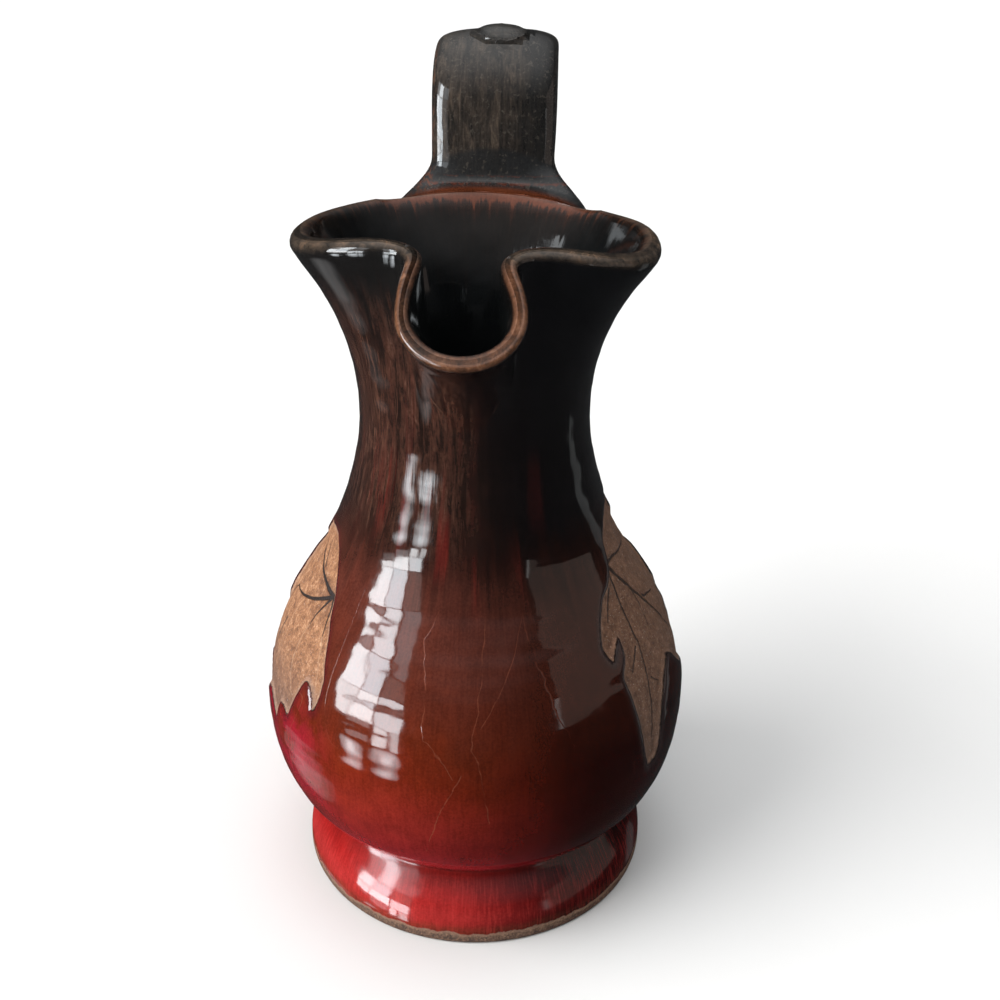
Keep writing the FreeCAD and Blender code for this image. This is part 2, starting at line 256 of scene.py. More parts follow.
def clamped_basis(m, v):
    """Weights of m poles at v in 0..m-3, cubic with clamped ends."""
    v = np.asarray(v, float)
    t = np.concatenate([[0.0] * 3, np.arange(0, m - 2, dtype=float), [m - 3.0] * 3])
    span = np.clip(np.floor(v).astype(int), 0, m - 4)
    n = np.zeros((len(v), m + 3))
    n[np.arange(len(v)), span + 3] = 1.0
    for d in range(1, 4):
        new = np.zeros_like(n)
        for i in range(m + 3 - d):
            a = t[i + d] - t[i]
            b = t[i + d + 1] - t[i + 1]
            term = 0.0
            if a > 0:
                term = term + (v - t[i]) / a * n[:, i]
            if b > 0:
                term = term + (t[i + d + 1] - v) / b * n[:, i + 1]
            new[:, i] = term
        n = new
    return n[:, :m]


def periodic_basis(n, u):
    """Weights of n poles at u in 0..n, cubic, pole i centred on u = i."""
    out = np.zeros((len(u), n))
    i0 = np.floor(u).astype(int)
    w = u - i0
    rows = np.arange(len(u))
    for k, c in ((-1, (1 - w) ** 3 / 6), (0, (3 * w ** 3 - 6 * w ** 2 + 4) / 6),
                 (1, (-3 * w ** 3 + 3 * w ** 2 + 3 * w + 1) / 6), (2, w ** 3 / 6)):
        out[rows, (i0 + k) % n] += c
    return out


def body_nets():
    collar = [
        ring(FOOT_R - FOOT_EDGE, 0.0), ring(FOOT_R - 0.4, 0.0), ring(FOOT_R + 0.1, 0.8),
        ring(FOOT_R + 0.1, 2.6), ring(FOOT_R, 4.8), ring(FOOT_R - 0.4, 7.4),
        ring(FOOT_R - 1.0, 10.0), ring(FOOT_R - 2.1, 12.8), ring(FOOT_R - 3.7, 15.4),
        ring(CREASE_R + 1.0, 17.8), ring(CREASE_R + 0.1, 19.6), ring(CREASE_R, CREASE_Z),
    ]
    wall = [ring(r, z) for r, z in OUTER]
    n_up = 15
    halves = []
    for i in range(1, n_up + 1):
        s = i / n_up
        p, n, up = frame_at(ANGLES, s)
        half = np.full(len(ANGLES), NECK_WALL / 2)
        half += (lip_radius(ANGLES) - half) * smoothstep(s, 0.62, 1.0)
        halves.append((p, n, half))
        wall.append(p + n * half[:, None])
    p, n, up = frame_at(ANGLES, 1.0)
    r = (lip_radius(ANGLES) * 1.06)[:, None]
    for k in range(1, 8):
        phi = math.pi * k / 8
        wall.append(p + n * r * math.cos(phi) + up * r * math.sin(phi))
    for p, n, half in reversed(halves):
        wall.append(p - n * half[:, None])
    wall += [ring(r, z) for r, z in reversed(INNER)]
    wall += [ring(36.4, 13.6), ring(33.8, 11.2), ring(30.0, FLOOR_Z), ring(26.0, FLOOR_Z)]
    return np.array(collar), np.array(wall)


def spaced(positions, lo, hi, step):
    """Values between lo and hi, spaced by step(value) along a length table."""
    v, run = positions
    out, here = [], np.interp(lo, v, run)
    end = np.interp(hi, v, run)
    while here < end:
        out.append(here)
        here += step(np.interp(here, run, v))
    out = np.array(out)
    scale = (end - out[0]) / (here - out[0])
    return np.interp(out[0] + (out - out[0]) * scale, run, v)


def make_mesh(name, verts, faces):
    me = bpy.data.meshes.new(name)
    me.from_pydata([tuple(v) for v in verts], [], faces)
    me.update()
    return me


def signed_volume(verts, faces):
    total = 0.0
    for f in faces:
        a = verts[f[0]]
        for i in range(1, len(f) - 1):
            total += float(np.dot(a, np.cross(verts[f[i]], verts[f[i + 1]])))
    return total / 6.0


LEAF_LO, LEAF_HI = 46.0, 111.0      # heights that the leaves reach, roughly


def build_body():
    collar, wall = body_nets()
    # Angle at each whole u, as the spline gives it.
    a_ext = np.concatenate([[ANGLES[-1] - 360.0], ANGLES, [ANGLES[0] + 360.0]])
    a_at_u = (a_ext[:-2] + 4 * a_ext[1:-1] + a_ext[2:]) / 6
    a_at_u = np.append(a_at_u, a_at_u[0] + 360.0)

    # Column angles: closer together at the leaves and round the spout.
    def column_step(a):
        b = (a + 180.0) % 360.0 - 180.0
        if -108.0 < b < -36.0 or 46.0 < b < 122.0:
            return 0.80
        if -36.0 <= b <= 46.0:
            return 1.0 if abs(b) > 30 or abs(b) < 9 else 0.72
        return 1.75

    start = a_at_u[0]
    cols, a = [], start
    while a < start + 360.0:
        cols.append(a)
        a += column_step(a)
    cols = np.array(cols)
    if len(cols) % 2:
        cols = np.delete(cols, np.argmin(np.abs((cols + 180) % 360 - 180 - 175)))
    cols = start + (cols - start) * (360.0 / (a - start))
    u = np.interp(cols, a_at_u, np.arange(len(a_at_u)))
    u = np.mod(u, N_ROUND)
    bu = periodic_basis(N_ROUND, u)

    def net_point(net, v):
        bv = clamped_basis(len(net), v)
        return np.einsum("vj,jic,ui->vuc", bv, net, bu)

    # Row positions, from lengths measured down one side.
    side = int(np.argmin(np.abs(np.mod(cols - 78.0 + 180, 360) - 180)))
    fine = np.linspace(0, len(wall) - 3, 6000)
    line = (clamped_basis(len(wall), fine) @ np.einsum("jic,i->jc", wall, bu[side]))
    run = np.concatenate([[0.0], np.cumsum(np.linalg.norm(np.diff(line, axis=0), axis=1))])
    z_fine = line[:, 2]
    v_lip0 = 26.5
    v_lip1 = 38.0
    top = float(len(wall) - 3)
    v_lo = fine[np.argmax(z_fine > LEAF_LO)]
    v_hi = fine[np.argmax(z_fine > LEAF_HI)]

    def row_step(v):
        if v < v_lo:
            return 1.3
        if v < v_hi:
            return 0.80
        if v < v_lip0:
            return 1.7
        if v < v_lip1:
            return 0.85
        if v < 46:
            return 2.0
        return 3.6

    v_rows = spaced((fine, run), 0.0, top, row_step)
    v_rows = np.append(v_rows, top)
    collar_v = np.linspace(0.0, len(collar) - 3.0, 27)[:-1]
    outer = net_point(collar, collar_v)
    grid = net_point(wall, v_rows)
    half_from = int(np.argmax(v_rows > v_lip1))
    arc0 = np.interp(fine[np.argmax(z_fine >= 57.0)], fine, run)

    verts, faces = [], []
    info_v, info_a, info_arc = [], [], []
    rows = []
    for j, row in enumerate(outer):
        rows.append((row, np.arange(len(cols)), -1.0 - (1 - j / len(outer)) * 2.0, None))
    for j, row in enumerate(grid):
        if j < half_from:
            rows.append((row, np.arange(len(cols)), v_rows[j], None))
        else:
            pick = np.arange(0, len(cols), 2)
            rows.append((row[pick], pick, v_rows[j], None))
    starts = []
    for row, pick, v, _ in rows:
        starts.append((len(verts), len(row)))
        verts.extend(row)
        info_v.extend([v] * len(row))
        info_a.extend(cols[pick])
        if v >= 0:
            info_arc.extend([np.interp(v, fine, run) - arc0] * len(row))
        else:
            info_arc.extend([float(row[0][2]) - 57.0 - 5.0] * len(row))
    for (s0, n0), (s1, n1) in zip(starts[:-1], starts[1:]):
        if n0 == n1:
            for i in range(n0):
                k = (i + 1) % n0
                faces.append((s0 + i, s0 + k, s1 + k, s1 + i))
        else:
            for i in range(n1):
                k = (i + 1) % n1
                faces.append((s0 + 2 * i, s0 + 2 * i + 1, s0 + (2 * i + 2) % n0, s1 + k, s1 + i))
    s0, n0 = starts[0]
    faces.append(tuple(range(s0 + n0 - 1, s0 - 1, -1)))
    s1, n1 = starts[-1]
    faces.append(tuple(range(s1, s1 + n1)))
    return np.array(verts), faces, np.array(info_v), np.array(info_a), np.array(info_arc)


def strap_keys():
    return [(float(i),) + row for i, row in enumerate(STRAP)]


def build_strap():
    steps = (len(STRAP) - 1) * 2
    rows = hermite(strap_keys(), np.arange(steps + 1) / 2.0)
    q = 2 * np.pi * np.arange(N_STRAP) / N_STRAP
    net = []
    for fy, fz, by, bz, w, wrap in rows:
        cy, cz, hy, hz = (fy + by) / 2, (fz + bz) / 2, (fy - by) / 2, (fz - bz) / 2
        c, sn = np.cos(q), np.sin(q)
        ex = np.sign(c) * np.abs(c) ** STRAP_FLAT * w / 2
        en = np.sign(sn) * np.abs(sn) ** STRAP_FLAT
        back = wrap * np.abs(c) ** (2 * STRAP_FLAT)
        net.append(np.stack([HANDLE_X + ex, cy + hy * en - back, cz + hz * en], axis=1))
    net = np.array(net)
    n_q, n_v = 60, 128
    u = np.arange(n_q) / n_q * N_STRAP
    v = np.linspace(0, len(net) - 3.0, n_v)
    grid = np.einsum("vj,jic,ui->vuc", clamped_basis(len(net), v), net, periodic_basis(N_STRAP, u))
    verts = grid.reshape(-1, 3)
    faces = []
    for j in range(n_v - 1):
        for i in range(n_q):
            k = (i + 1) % n_q
            faces.append((j * n_q + i, (j + 1) * n_q + i, (j + 1) * n_q + k, j * n_q + k))
    faces.append(tuple(range(n_q)))
    faces.append(tuple(range((n_v - 1) * n_q, n_v * n_q))[::-1])
    if signed_volume(verts, faces) < 0:
        faces = [f[::-1] for f in faces]
    info_along = np.repeat(np.concatenate([[0.0], np.cumsum(np.linalg.norm(
        np.diff(grid.mean(axis=1), axis=0), axis=1))]), n_q)
    info_q = np.tile(2 * np.pi * np.arange(n_q) / n_q, n_v)
    return verts, faces, info_along, info_q


def strap_top(y):
    rows = hermite(strap_keys(), np.arange((len(STRAP) - 1) * 4 + 1) / 4.0)
    pts = sorted((float(r[0]), float(r[1])) for r in rows if r[1] > 205.0)
    return float(hermite(pts, y)[0, 0])


def build_pellet():
    x0, y0 = PELLET_AT
    base = strap_top(y0) - 1.5
    n_a, n_r = 40, 12
    verts, faces = [(x0, y0, base + PELLET_H)], []
    for k in range(1, n_r + 1):
        w = math.pi / 2 * k / n_r
        for i in range(n_a):
            a = 2 * math.pi * i / n_a
            r = PELLET_R * math.sin(w) * (1 + 0.03 * math.cos(2 * a + 0.6) - 0.02 * math.cos(3 * a))
            h = base - 2.0 + (PELLET_H + 2.0) * math.cos(w) ** 0.8
            h -= 0.25 * math.exp(-((r * math.cos(a) - 2.0) ** 2 + (r * math.sin(a) + 1.0) ** 2) / 16.0)
            verts.append((x0 + r * math.cos(a), y0 + r * math.sin(a), h))
    low = len(verts)
    for i in range(n_a):
        a = 2 * math.pi * i / n_a
        verts.append((x0 + PELLET_R * math.cos(a), y0 + PELLET_R * math.sin(a), base - 5.0))
    for i in range(n_a):
        k = (i + 1) % n_a
        faces.append((0, 1 + i, 1 + k))
        for j in range(n_r - 1):
            a, b = 1 + j * n_a, 1 + (j + 1) * n_a
            faces.append((a + i, b + i, b + k, a + k))
        a = 1 + (n_r - 1) * n_a
        faces.append((a + i, low + i, low + k, a + k))
    faces.append(tuple(range(low + n_a - 1, low - 1, -1)))
    verts = np.array(verts)
    if signed_volume(verts, faces) < 0:
        faces = [f[::-1] for f in faces]
    return verts, faces


def union(meshes):
    """One closed mesh from several that overlap."""
    objs = []
    for i, me in enumerate(meshes):
        o = bpy.data.objects.new("join_%d" % i, me)
        bpy.context.scene.collection.objects.link(o)
        objs.append(o)
    base = objs[0]
    for o in objs[1:]:
        m = base.modifiers.new("join", "BOOLEAN")
        m.operation = "UNION"
        m.object = o
        m.solver = "MANIFOLD"
    dg = bpy.context.evaluated_depsgraph_get()
    out = bpy.data.meshes.new_from_object(base.evaluated_get(dg))
    for o in objs:
        bpy.data.objects.remove(o)
    return out


def kd_of(points):
    kd = KDTree(len(points))
    for i, p in enumerate(points):
        kd.insert(p, i)
    kd.balance()
    return kd


def polygon_distance(px, py, outline):
    """Distance to a closed outline, negative inside."""
    pts = np.array(outline, float)
    best = np.full(len(px), 1e9)
    inside = np.zeros(len(px), bool)
    for (ax, ay), (bx, by) in zip(pts, np.roll(pts, -1, axis=0)):
        dx, dy = bx - ax, by - ay
        t = np.clip(((px - ax) * dx + (py - ay) * dy) / (dx * dx + dy * dy), 0, 1)
        best = np.minimum(best, (px - ax - t * dx) ** 2 + (py - ay - t * dy) ** 2)
        cross = ((ay > py) != (by > py)) & (px < (bx - ax) * (py - ay) / (by - ay + 1e-12) + ax)
        inside ^= cross
    d = np.sqrt(best)
    return np.where(inside, -d, d)


def wrap_angle(a, centre):
    return np.mod(a - centre + 180.0, 360.0) - 180.0 + centre


def leaf_outline(points):
    """The outline in millimetres, its sides slightly bowed between points."""
    pts = np.array([(a * LEAF_K, s) for a, s in points])
    n = len(pts)
    out = []
    for i in range(n):
        p0, p1, p2, p3 = pts[i - 1], pts[i], pts[(i + 1) % n], pts[(i + 2) % n]
        for t in (0.0, 0.34, 0.67):
            m1, m2 = (p2 - p0) * 0.28, (p3 - p1) * 0.28
            h00, h10 = 2 * t ** 3 - 3 * t ** 2 + 1, t ** 3 - 2 * t ** 2 + t
            h01, h11 = 3 * t ** 2 - 2 * t ** 3, t ** 3 - t ** 2
            out.append(h00 * p1 + h10 * m1 + h01 * p2 + h11 * m2)
    return out


def wave(x, y, z, seed):
    """A smooth wobble of about 1, the same on every run."""
    out = 0.0
    rng = np.random.RandomState(seed)
    for _ in range(6):
        k = rng.normal(size=3)
        k /= np.linalg.norm(k)
        out = out + np.sin((x * k[0] + y * k[1] + z * k[2]) * rng.uniform(0.7, 1.4) + rng.uniform(0, 6.28))
    return out / 2.4


def build_pitcher():
    bv, bf, b_v, b_a, b_arc = build_body()
    sv, sf, s_along, s_q = build_strap()
    pv, pf = build_pellet()
    me = union([make_mesh("body", bv, bf), make_mesh("strap", sv, sf), make_mesh("pellet", pv, pf)])
    n = len(me.vertices)
    co = np.empty(n * 3, np.float32)
    me.vertices.foreach_get("co", co)
    co = co.reshape(-1, 3).astype(float)

    near = {}
    for name, pts in (("body", bv), ("strap", sv), ("pellet", pv)):
        kd = kd_of(pts)
        found = [kd.find(p) for p in co]
        near[name] = (np.array([f[1] for f in found]), np.array([f[2] for f in found]))
    on_body = near["body"][1] < 2e-4
    on_strap = (near["strap"][1] < 2e-4) & ~on_body
    on_pellet = (near["pellet"][1] < 2e-4) & ~on_body & ~on_strap
    seam = ~(on_body | on_strap | on_pellet)
    iv = near["body"][0]
    v_par, arc = b_v[iv], b_arc[iv]

    # Ease the joints, as wet clay is smoothed on by hand.
    edges = np.empty(len(me.edges) * 2, np.int32)
    me.edges.foreach_get("vertices", edges)
    edges = edges.reshape(-1, 2)
    seam_pts = co[seam]
    kd = kd_of(seam_pts)
    d_seam = np.array([kd.find(p)[2] for p in co])
    near_pellet = near["pellet"][1] < 3.0
    at_rim = (co[:, 2] > 140)
    on_top = co[:, 2] > 206
    reach = np.where(on_top, 2.0, np.where(at_rim, 8.0 - 5.0 * smoothstep(co[:, 2], 187.0, 194.0), 9.0))
    weight = np.clip(1.0 - d_seam / reach, 0.0, 1.0) ** 0.7
    rounds = np.where(on_top, 5, np.where(at_rim, 60, 46))
    degree = np.bincount(edges.ravel(), minlength=n).astype(float)
    part = on_strap.astype(float) + on_pellet.astype(float) + 0.5 * seam
    for step in range(60):
        active = (weight > 0) & (rounds > step)
        use = active[edges[:, 0]] | active[edges[:, 1]]
        e = edges[use]
        lam = (0.55 * weight * active)[:, None]
        total = np.stack([
            np.bincount(e[:, 0], weights=co[e[:, 1], c], minlength=n)
            + np.bincount(e[:, 1], weights=co[e[:, 0], c], minlength=n) for c in range(3)], axis=1)
        mean = total / np.maximum(np.bincount(e.ravel(), minlength=n), 1)[:, None]
        co = np.where(lam > 0, co + lam * (mean - co), co)
        mean_p = (np.bincount(e[:, 0], weights=part[e[:, 1]], minlength=n)
                  + np.bincount(e[:, 1], weights=part[e[:, 0]], minlength=n)) / np.maximum(
                      np.bincount(e.ravel(), minlength=n), 1)
        part = np.where(lam[:, 0] > 0, part + lam[:, 0] * (mean_p - part), part)

    ang = np.degrees(np.arctan2(co[:, 0], -co[:, 1]))
    # Inside or outside the vessel, and how near the lip's crest.
    inner = smoothstep(v_par, 31.6, 33.4)
    lip_d = np.abs(v_par - 31.9)
    lip = np.exp(-(np.where(v_par < 31.9, (31.9 - v_par) / 2.6, (v_par - 31.9) / 2.6)) ** 2)
    body_part = 1.0 - np.clip(part, 0, 1)

    # Leaf prints.
    pl, pr = wrap_angle(ang, -80.0) * LEAF_K, wrap_angle(ang, 80.0) * LEAF_K
    ll, lr = leaf_outline(LEFT_LEAF), leaf_outline(RIGHT_LEAF)
    d_left, d_right = np.full(n, 20.0), np.full(n, 20.0)
    zone = (v_par > 0) & (v_par < 15) & (body_part > 0.9)
    zl = zone & (ang < 0)
    zr = zone & (ang > 0)
    d_left[zl] = polygon_distance(pl[zl], arc[zl], ll)
    d_right[zr] = polygon_distance(pr[zr], arc[zr], lr)
    d_leaf = np.minimum(d_left, d_right)

    me.vertices.foreach_set("co", co.astype(np.float32).ravel())
    me.update()
    nor = np.empty(n * 3, np.float32)
    me.vertices.foreach_get("normal", nor)
    nor = nor.reshape(-1, 3).astype(float)

    x, y, z = co.T
    outside = (1.0 - inner) * body_part
    move = np.zeros(n)
    # Thick glaze stands over the sunk, bare leaf, with a rounded edge.
    sunk = 1.0 - smoothstep(d_leaf, -1.5, 0.9)
    move -= 1.15 * sunk
    # Throwing rings and slack in the glaze.
    ringz = np.sin(z * 2 * np.pi / 7.3 + 0.5 * np.sin(np.radians(ang) * 2 + 1.0)) \
        + 0.6 * np.sin(z * 2 * np.pi / 4.1 + 2.0 + 0.7 * np.sin(np.radians(ang) + 2.0))
    move += outside * (0.035 * ringz - 0.06) * smoothstep(z, 24, 34)
    move += outside * 0.10 * (wave(x / 9, y / 9, z / 14, 3) - 1.6) * smoothstep(z, 26, 40)
    move += 0.05 * wave(x / 4.5, y / 4.5, z / 6.0, 5) * (1 - inner) - 0.05
    # The strap's faces are a little uneven.
    strap_w = np.clip(part, 0, 1)
    move += strap_w * (0.16 * wave(x / 8, y / 7, z / 9, 8) - 0.2)
    flat = smoothstep(z, 0.3, 2.5)
    co2 = co + nor * (move * flat)[:, None]
    # Stays within the CAD model's box.
    lo = np.array(cad_lo) / MM + 0.02
    hi = np.array(cad_hi) / MM - 0.02
    co2 = np.clip(co2, lo, hi)
    me.vertices.foreach_set("co", (co2 * MM).astype(np.float32).ravel())
    me.update()

    # Lengths along the surface for streaks that run down it.
    around = 45.0
    a = np.radians(ang)
    flow = np.stack([around * np.sin(a), -around * np.cos(a), arc], axis=1)
    si = near["strap"][0]
    s_len, s_ang = s_along[si], s_q[si]
    strap_flow = np.stack([sv[si][:, 0], 200.0 + 6.0 * np.sin(s_ang), s_len], axis=1)
    share = smoothstep(part, 0.4, 0.6)[:, None]
    flow = flow * (1 - share) + strap_flow * share
    edge = np.abs(np.cos(s_ang)) ** 1.0

    def put(name, data, kind="FLOAT"):
        at = me.attributes.new(name, kind, "POINT")
        at.data.foreach_set("value" if kind == "FLOAT" else "vector", np.asarray(data, np.float32).ravel())

    put("flow", flow, "FLOAT_VECTOR")
    put("pq", np.stack([pl, arc, pr], axis=1), "FLOAT_VECTOR")
    put("leaf_l", d_left)
    put("leaf_r", d_right)
    put("inner", inner * body_part)
    put("lip", lip * body_part)
    put("lipdist", np.where(v_par > 0, (v_par - 31.9), -30.0))
    put("strap", part)
    put("ang", ang)
    put("arc", arc)
    put("edge", edge * np.clip(part, 0, 1))
    put("along", s_len)
    for p in me.polygons:
        p.use_smooth = True
    return me


pitcher_mesh = build_pitcher()
pitcher = bpy.data.objects.new("glazed_pitcher", pitcher_mesh)
bpy.context.scene.collection.objects.link(pitcher)
print("pitcher faces", len(pitcher_mesh.polygons), "triangles",
      sum(len(p.vertices) - 2 for p in pitcher_mesh.polygons))

# =====================================================================
# Material
# =====================================================================
class Nodes:
    """Short names for building a node tree."""

    def __init__(self, tree):
        self.tree = tree
        self.count = 0

    def new(self, kind):
        node = self.tree.nodes.new(kind)
        node.location = (220 * (self.count % 40), -260 * (self.count // 40))
        self.count += 1
        return node

    def plug(self, socket, value):
        if isinstance(value, bpy.types.NodeSocket):
            self.tree.links.new(value, socket)
        elif value is not None:
            if isinstance(value, (tuple, list)) and len(value) == 3 and socket.type == "RGBA":
                value = (*value, 1.0)
            socket.default_value = value

    def math(self, op, a, b=None, c=None, clamp=False):
        node = self.new("ShaderNodeMath")
        node.operation, node.use_clamp = op, clamp
        for s, v in zip(node.inputs, (a, b, c)):
            self.plug(s, v)
        return node.outputs[0]

    def add(self, a, b):
        return self.math("ADD", a, b)

    def sub(self, a, b):
        return self.math("SUBTRACT", a, b)

    def mul(self, a, b):
        return self.math("MULTIPLY", a, b)

    def mad(self, a, b, c):
        return self.math("MULTIPLY_ADD", a, b, c)

    def inv(self, a):
        return self.math("SUBTRACT", 1.0, a)

    def vec(self, op, a, b=None, scale=None):
        node = self.new("ShaderNodeVectorMath")
        node.operation = op
        self.plug(node.inputs[0], a)
        if b is not None:
            self.plug(node.inputs[1], b)
        if scale is not None:
            self.plug(node.inputs["Scale"], scale)
        return node.outputs["Value"] if op in ("DOT_PRODUCT", "LENGTH", "DISTANCE") else node.outputs[0]

    def smooth(self, x, lo, hi, a=0.0, b=1.0):
        node = self.new("ShaderNodeMapRange")
        node.interpolation_type = "SMOOTHSTEP"
        for s, v in zip(("Value", "From Min", "From Max", "To Min", "To Max"), (x, lo, hi, a, b)):
            self.plug(node.inputs[s], v)
        return node.outputs[0]

    def attr(self, name, out="Fac"):
        node = self.new("ShaderNodeAttribute")
        node.attribute_name = name
        return node.outputs[out]

    def noise(self, vector, scale=1.0, detail=2.0, rough=0.5, dist=0.0, out=0):
        node = self.new("ShaderNodeTexNoise")
        self.plug(node.inputs["Vector"], vector)
        for s, v in zip(("Scale", "Detail", "Roughness", "Distortion"), (scale, detail, rough, dist)):
            self.plug(node.inputs[s], v)
        return node.outputs[out]

    def cells(self, vector, scale=1.0, feature="DISTANCE_TO_EDGE", rand=1.0, out=0):
        node = self.new("ShaderNodeTexVoronoi")
        node.feature = feature
        self.plug(node.inputs["Vector"], vector)
        node.inputs["Scale"].default_value = scale
        node.inputs["Randomness"].default_value = rand
        return node.outputs[out]

    def mix(self, fac, a, b, blend="MIX"):
        node = self.new("ShaderNodeMix")
        node.data_type, node.blend_type = "RGBA", blend
        node.clamp_factor = True
        self.plug(node.inputs["Factor"], fac)
        self.plug(node.inputs["A"] if False else node.inputs[6], a)
        self.plug(node.inputs[7], b)
        return node.outputs[2]

    def ramp(self, x, stops, interpolation="LINEAR"):
        """Colours along x, given as (x, (r, g, b)), with x in its own units."""
        lo, hi = stops[0][0], stops[-1][0]
        t = self.new("ShaderNodeMapRange")
        self.plug(t.inputs["Value"], x)
        t.inputs["From Min"].default_value, t.inputs["From Max"].default_value = lo, hi
        node = self.new("ShaderNodeValToRGB")
        self.tree.links.new(t.outputs[0], node.inputs[0])
        ramp = node.color_ramp
        ramp.interpolation = interpolation
        while len(ramp.elements) > 1:
            ramp.elements.remove(ramp.elements[-1])
        ramp.elements[0].position = 0.0
        ramp.elements[0].color = (*stops[0][1], 1.0)
        for p, c in stops[1:]:
            e = ramp.elements.new((p - lo) / (hi - lo))
            e.color = (*c, 1.0)
        return node.outputs[0]

    def xyz(self, v):
        node = self.new("ShaderNodeSeparateXYZ")
        self.plug(node.inputs[0], v)
        return node.outputs[0], node.outputs[1], node.outputs[2]

    def combine(self, x, y, z):
        node = self.new("ShaderNodeCombineXYZ")
        for s, v in zip(node.inputs, (x, y, z)):
            self.plug(s, v)
        return node.outputs[0]

    def scaled(self, v, s):
        return self.vec("MULTIPLY", v, s)

    def top(self, *values):
        out = values[0]
        for v in values[1:]:
            out = self.math("MAXIMUM", out, v)
        return out

    def line(self, px, py, a, b, bow=0.0, wide=0.5, thin=0.15, soft=0.25, fade=0.0):
        """A tapering stroke from a to b in the plane, bowed to one side."""
        length = math.hypot(b[0] - a[0], b[1] - a[1])
        dx, dy = (b[0] - a[0]) / length, (b[1] - a[1]) / length
        # t runs 0..1 along the stroke, d is the distance off it.
        t = self.mad(px, dx / length, self.mad(py, dy / length, -(a[0] * dx + a[1] * dy) / length))
        d = self.mad(px, -dy, self.mad(py, dx, a[0] * dy - a[1] * dx))
        if bow:
            d = self.sub(d, self.mul(self.mul(t, self.inv(t)), 4.0 * bow))
        half = self.mad(t, thin - wide, wide)
        body = self.smooth(self.sub(half, self.math("ABSOLUTE", d)), -soft, soft)
        ends = self.math("MULTIPLY", self.smooth(t, -0.03, 0.01), self.smooth(t, 1.02, 0.98))
        if fade:
            ends = self.mul(ends, self.mad(t, -fade, 1.0))
        return self.mul(body, ends)


def leaf_lines(g, px, py, node, veins, wide, thin, soft=0.16):
    out = None
    for v in veins:
        a, b, bow = v[0], v[1], v[2]
        w = v[3] if len(v) > 3 else wide
        t = v[4] if len(v) > 4 else thin
        s = g.line(px, py, (a[0] * LEAF_K, a[1]), (b[0] * LEAF_K, b[1]), bow, w, t, soft)
        out = s if out is None else g.math("MAXIMUM", out, s)
    return out


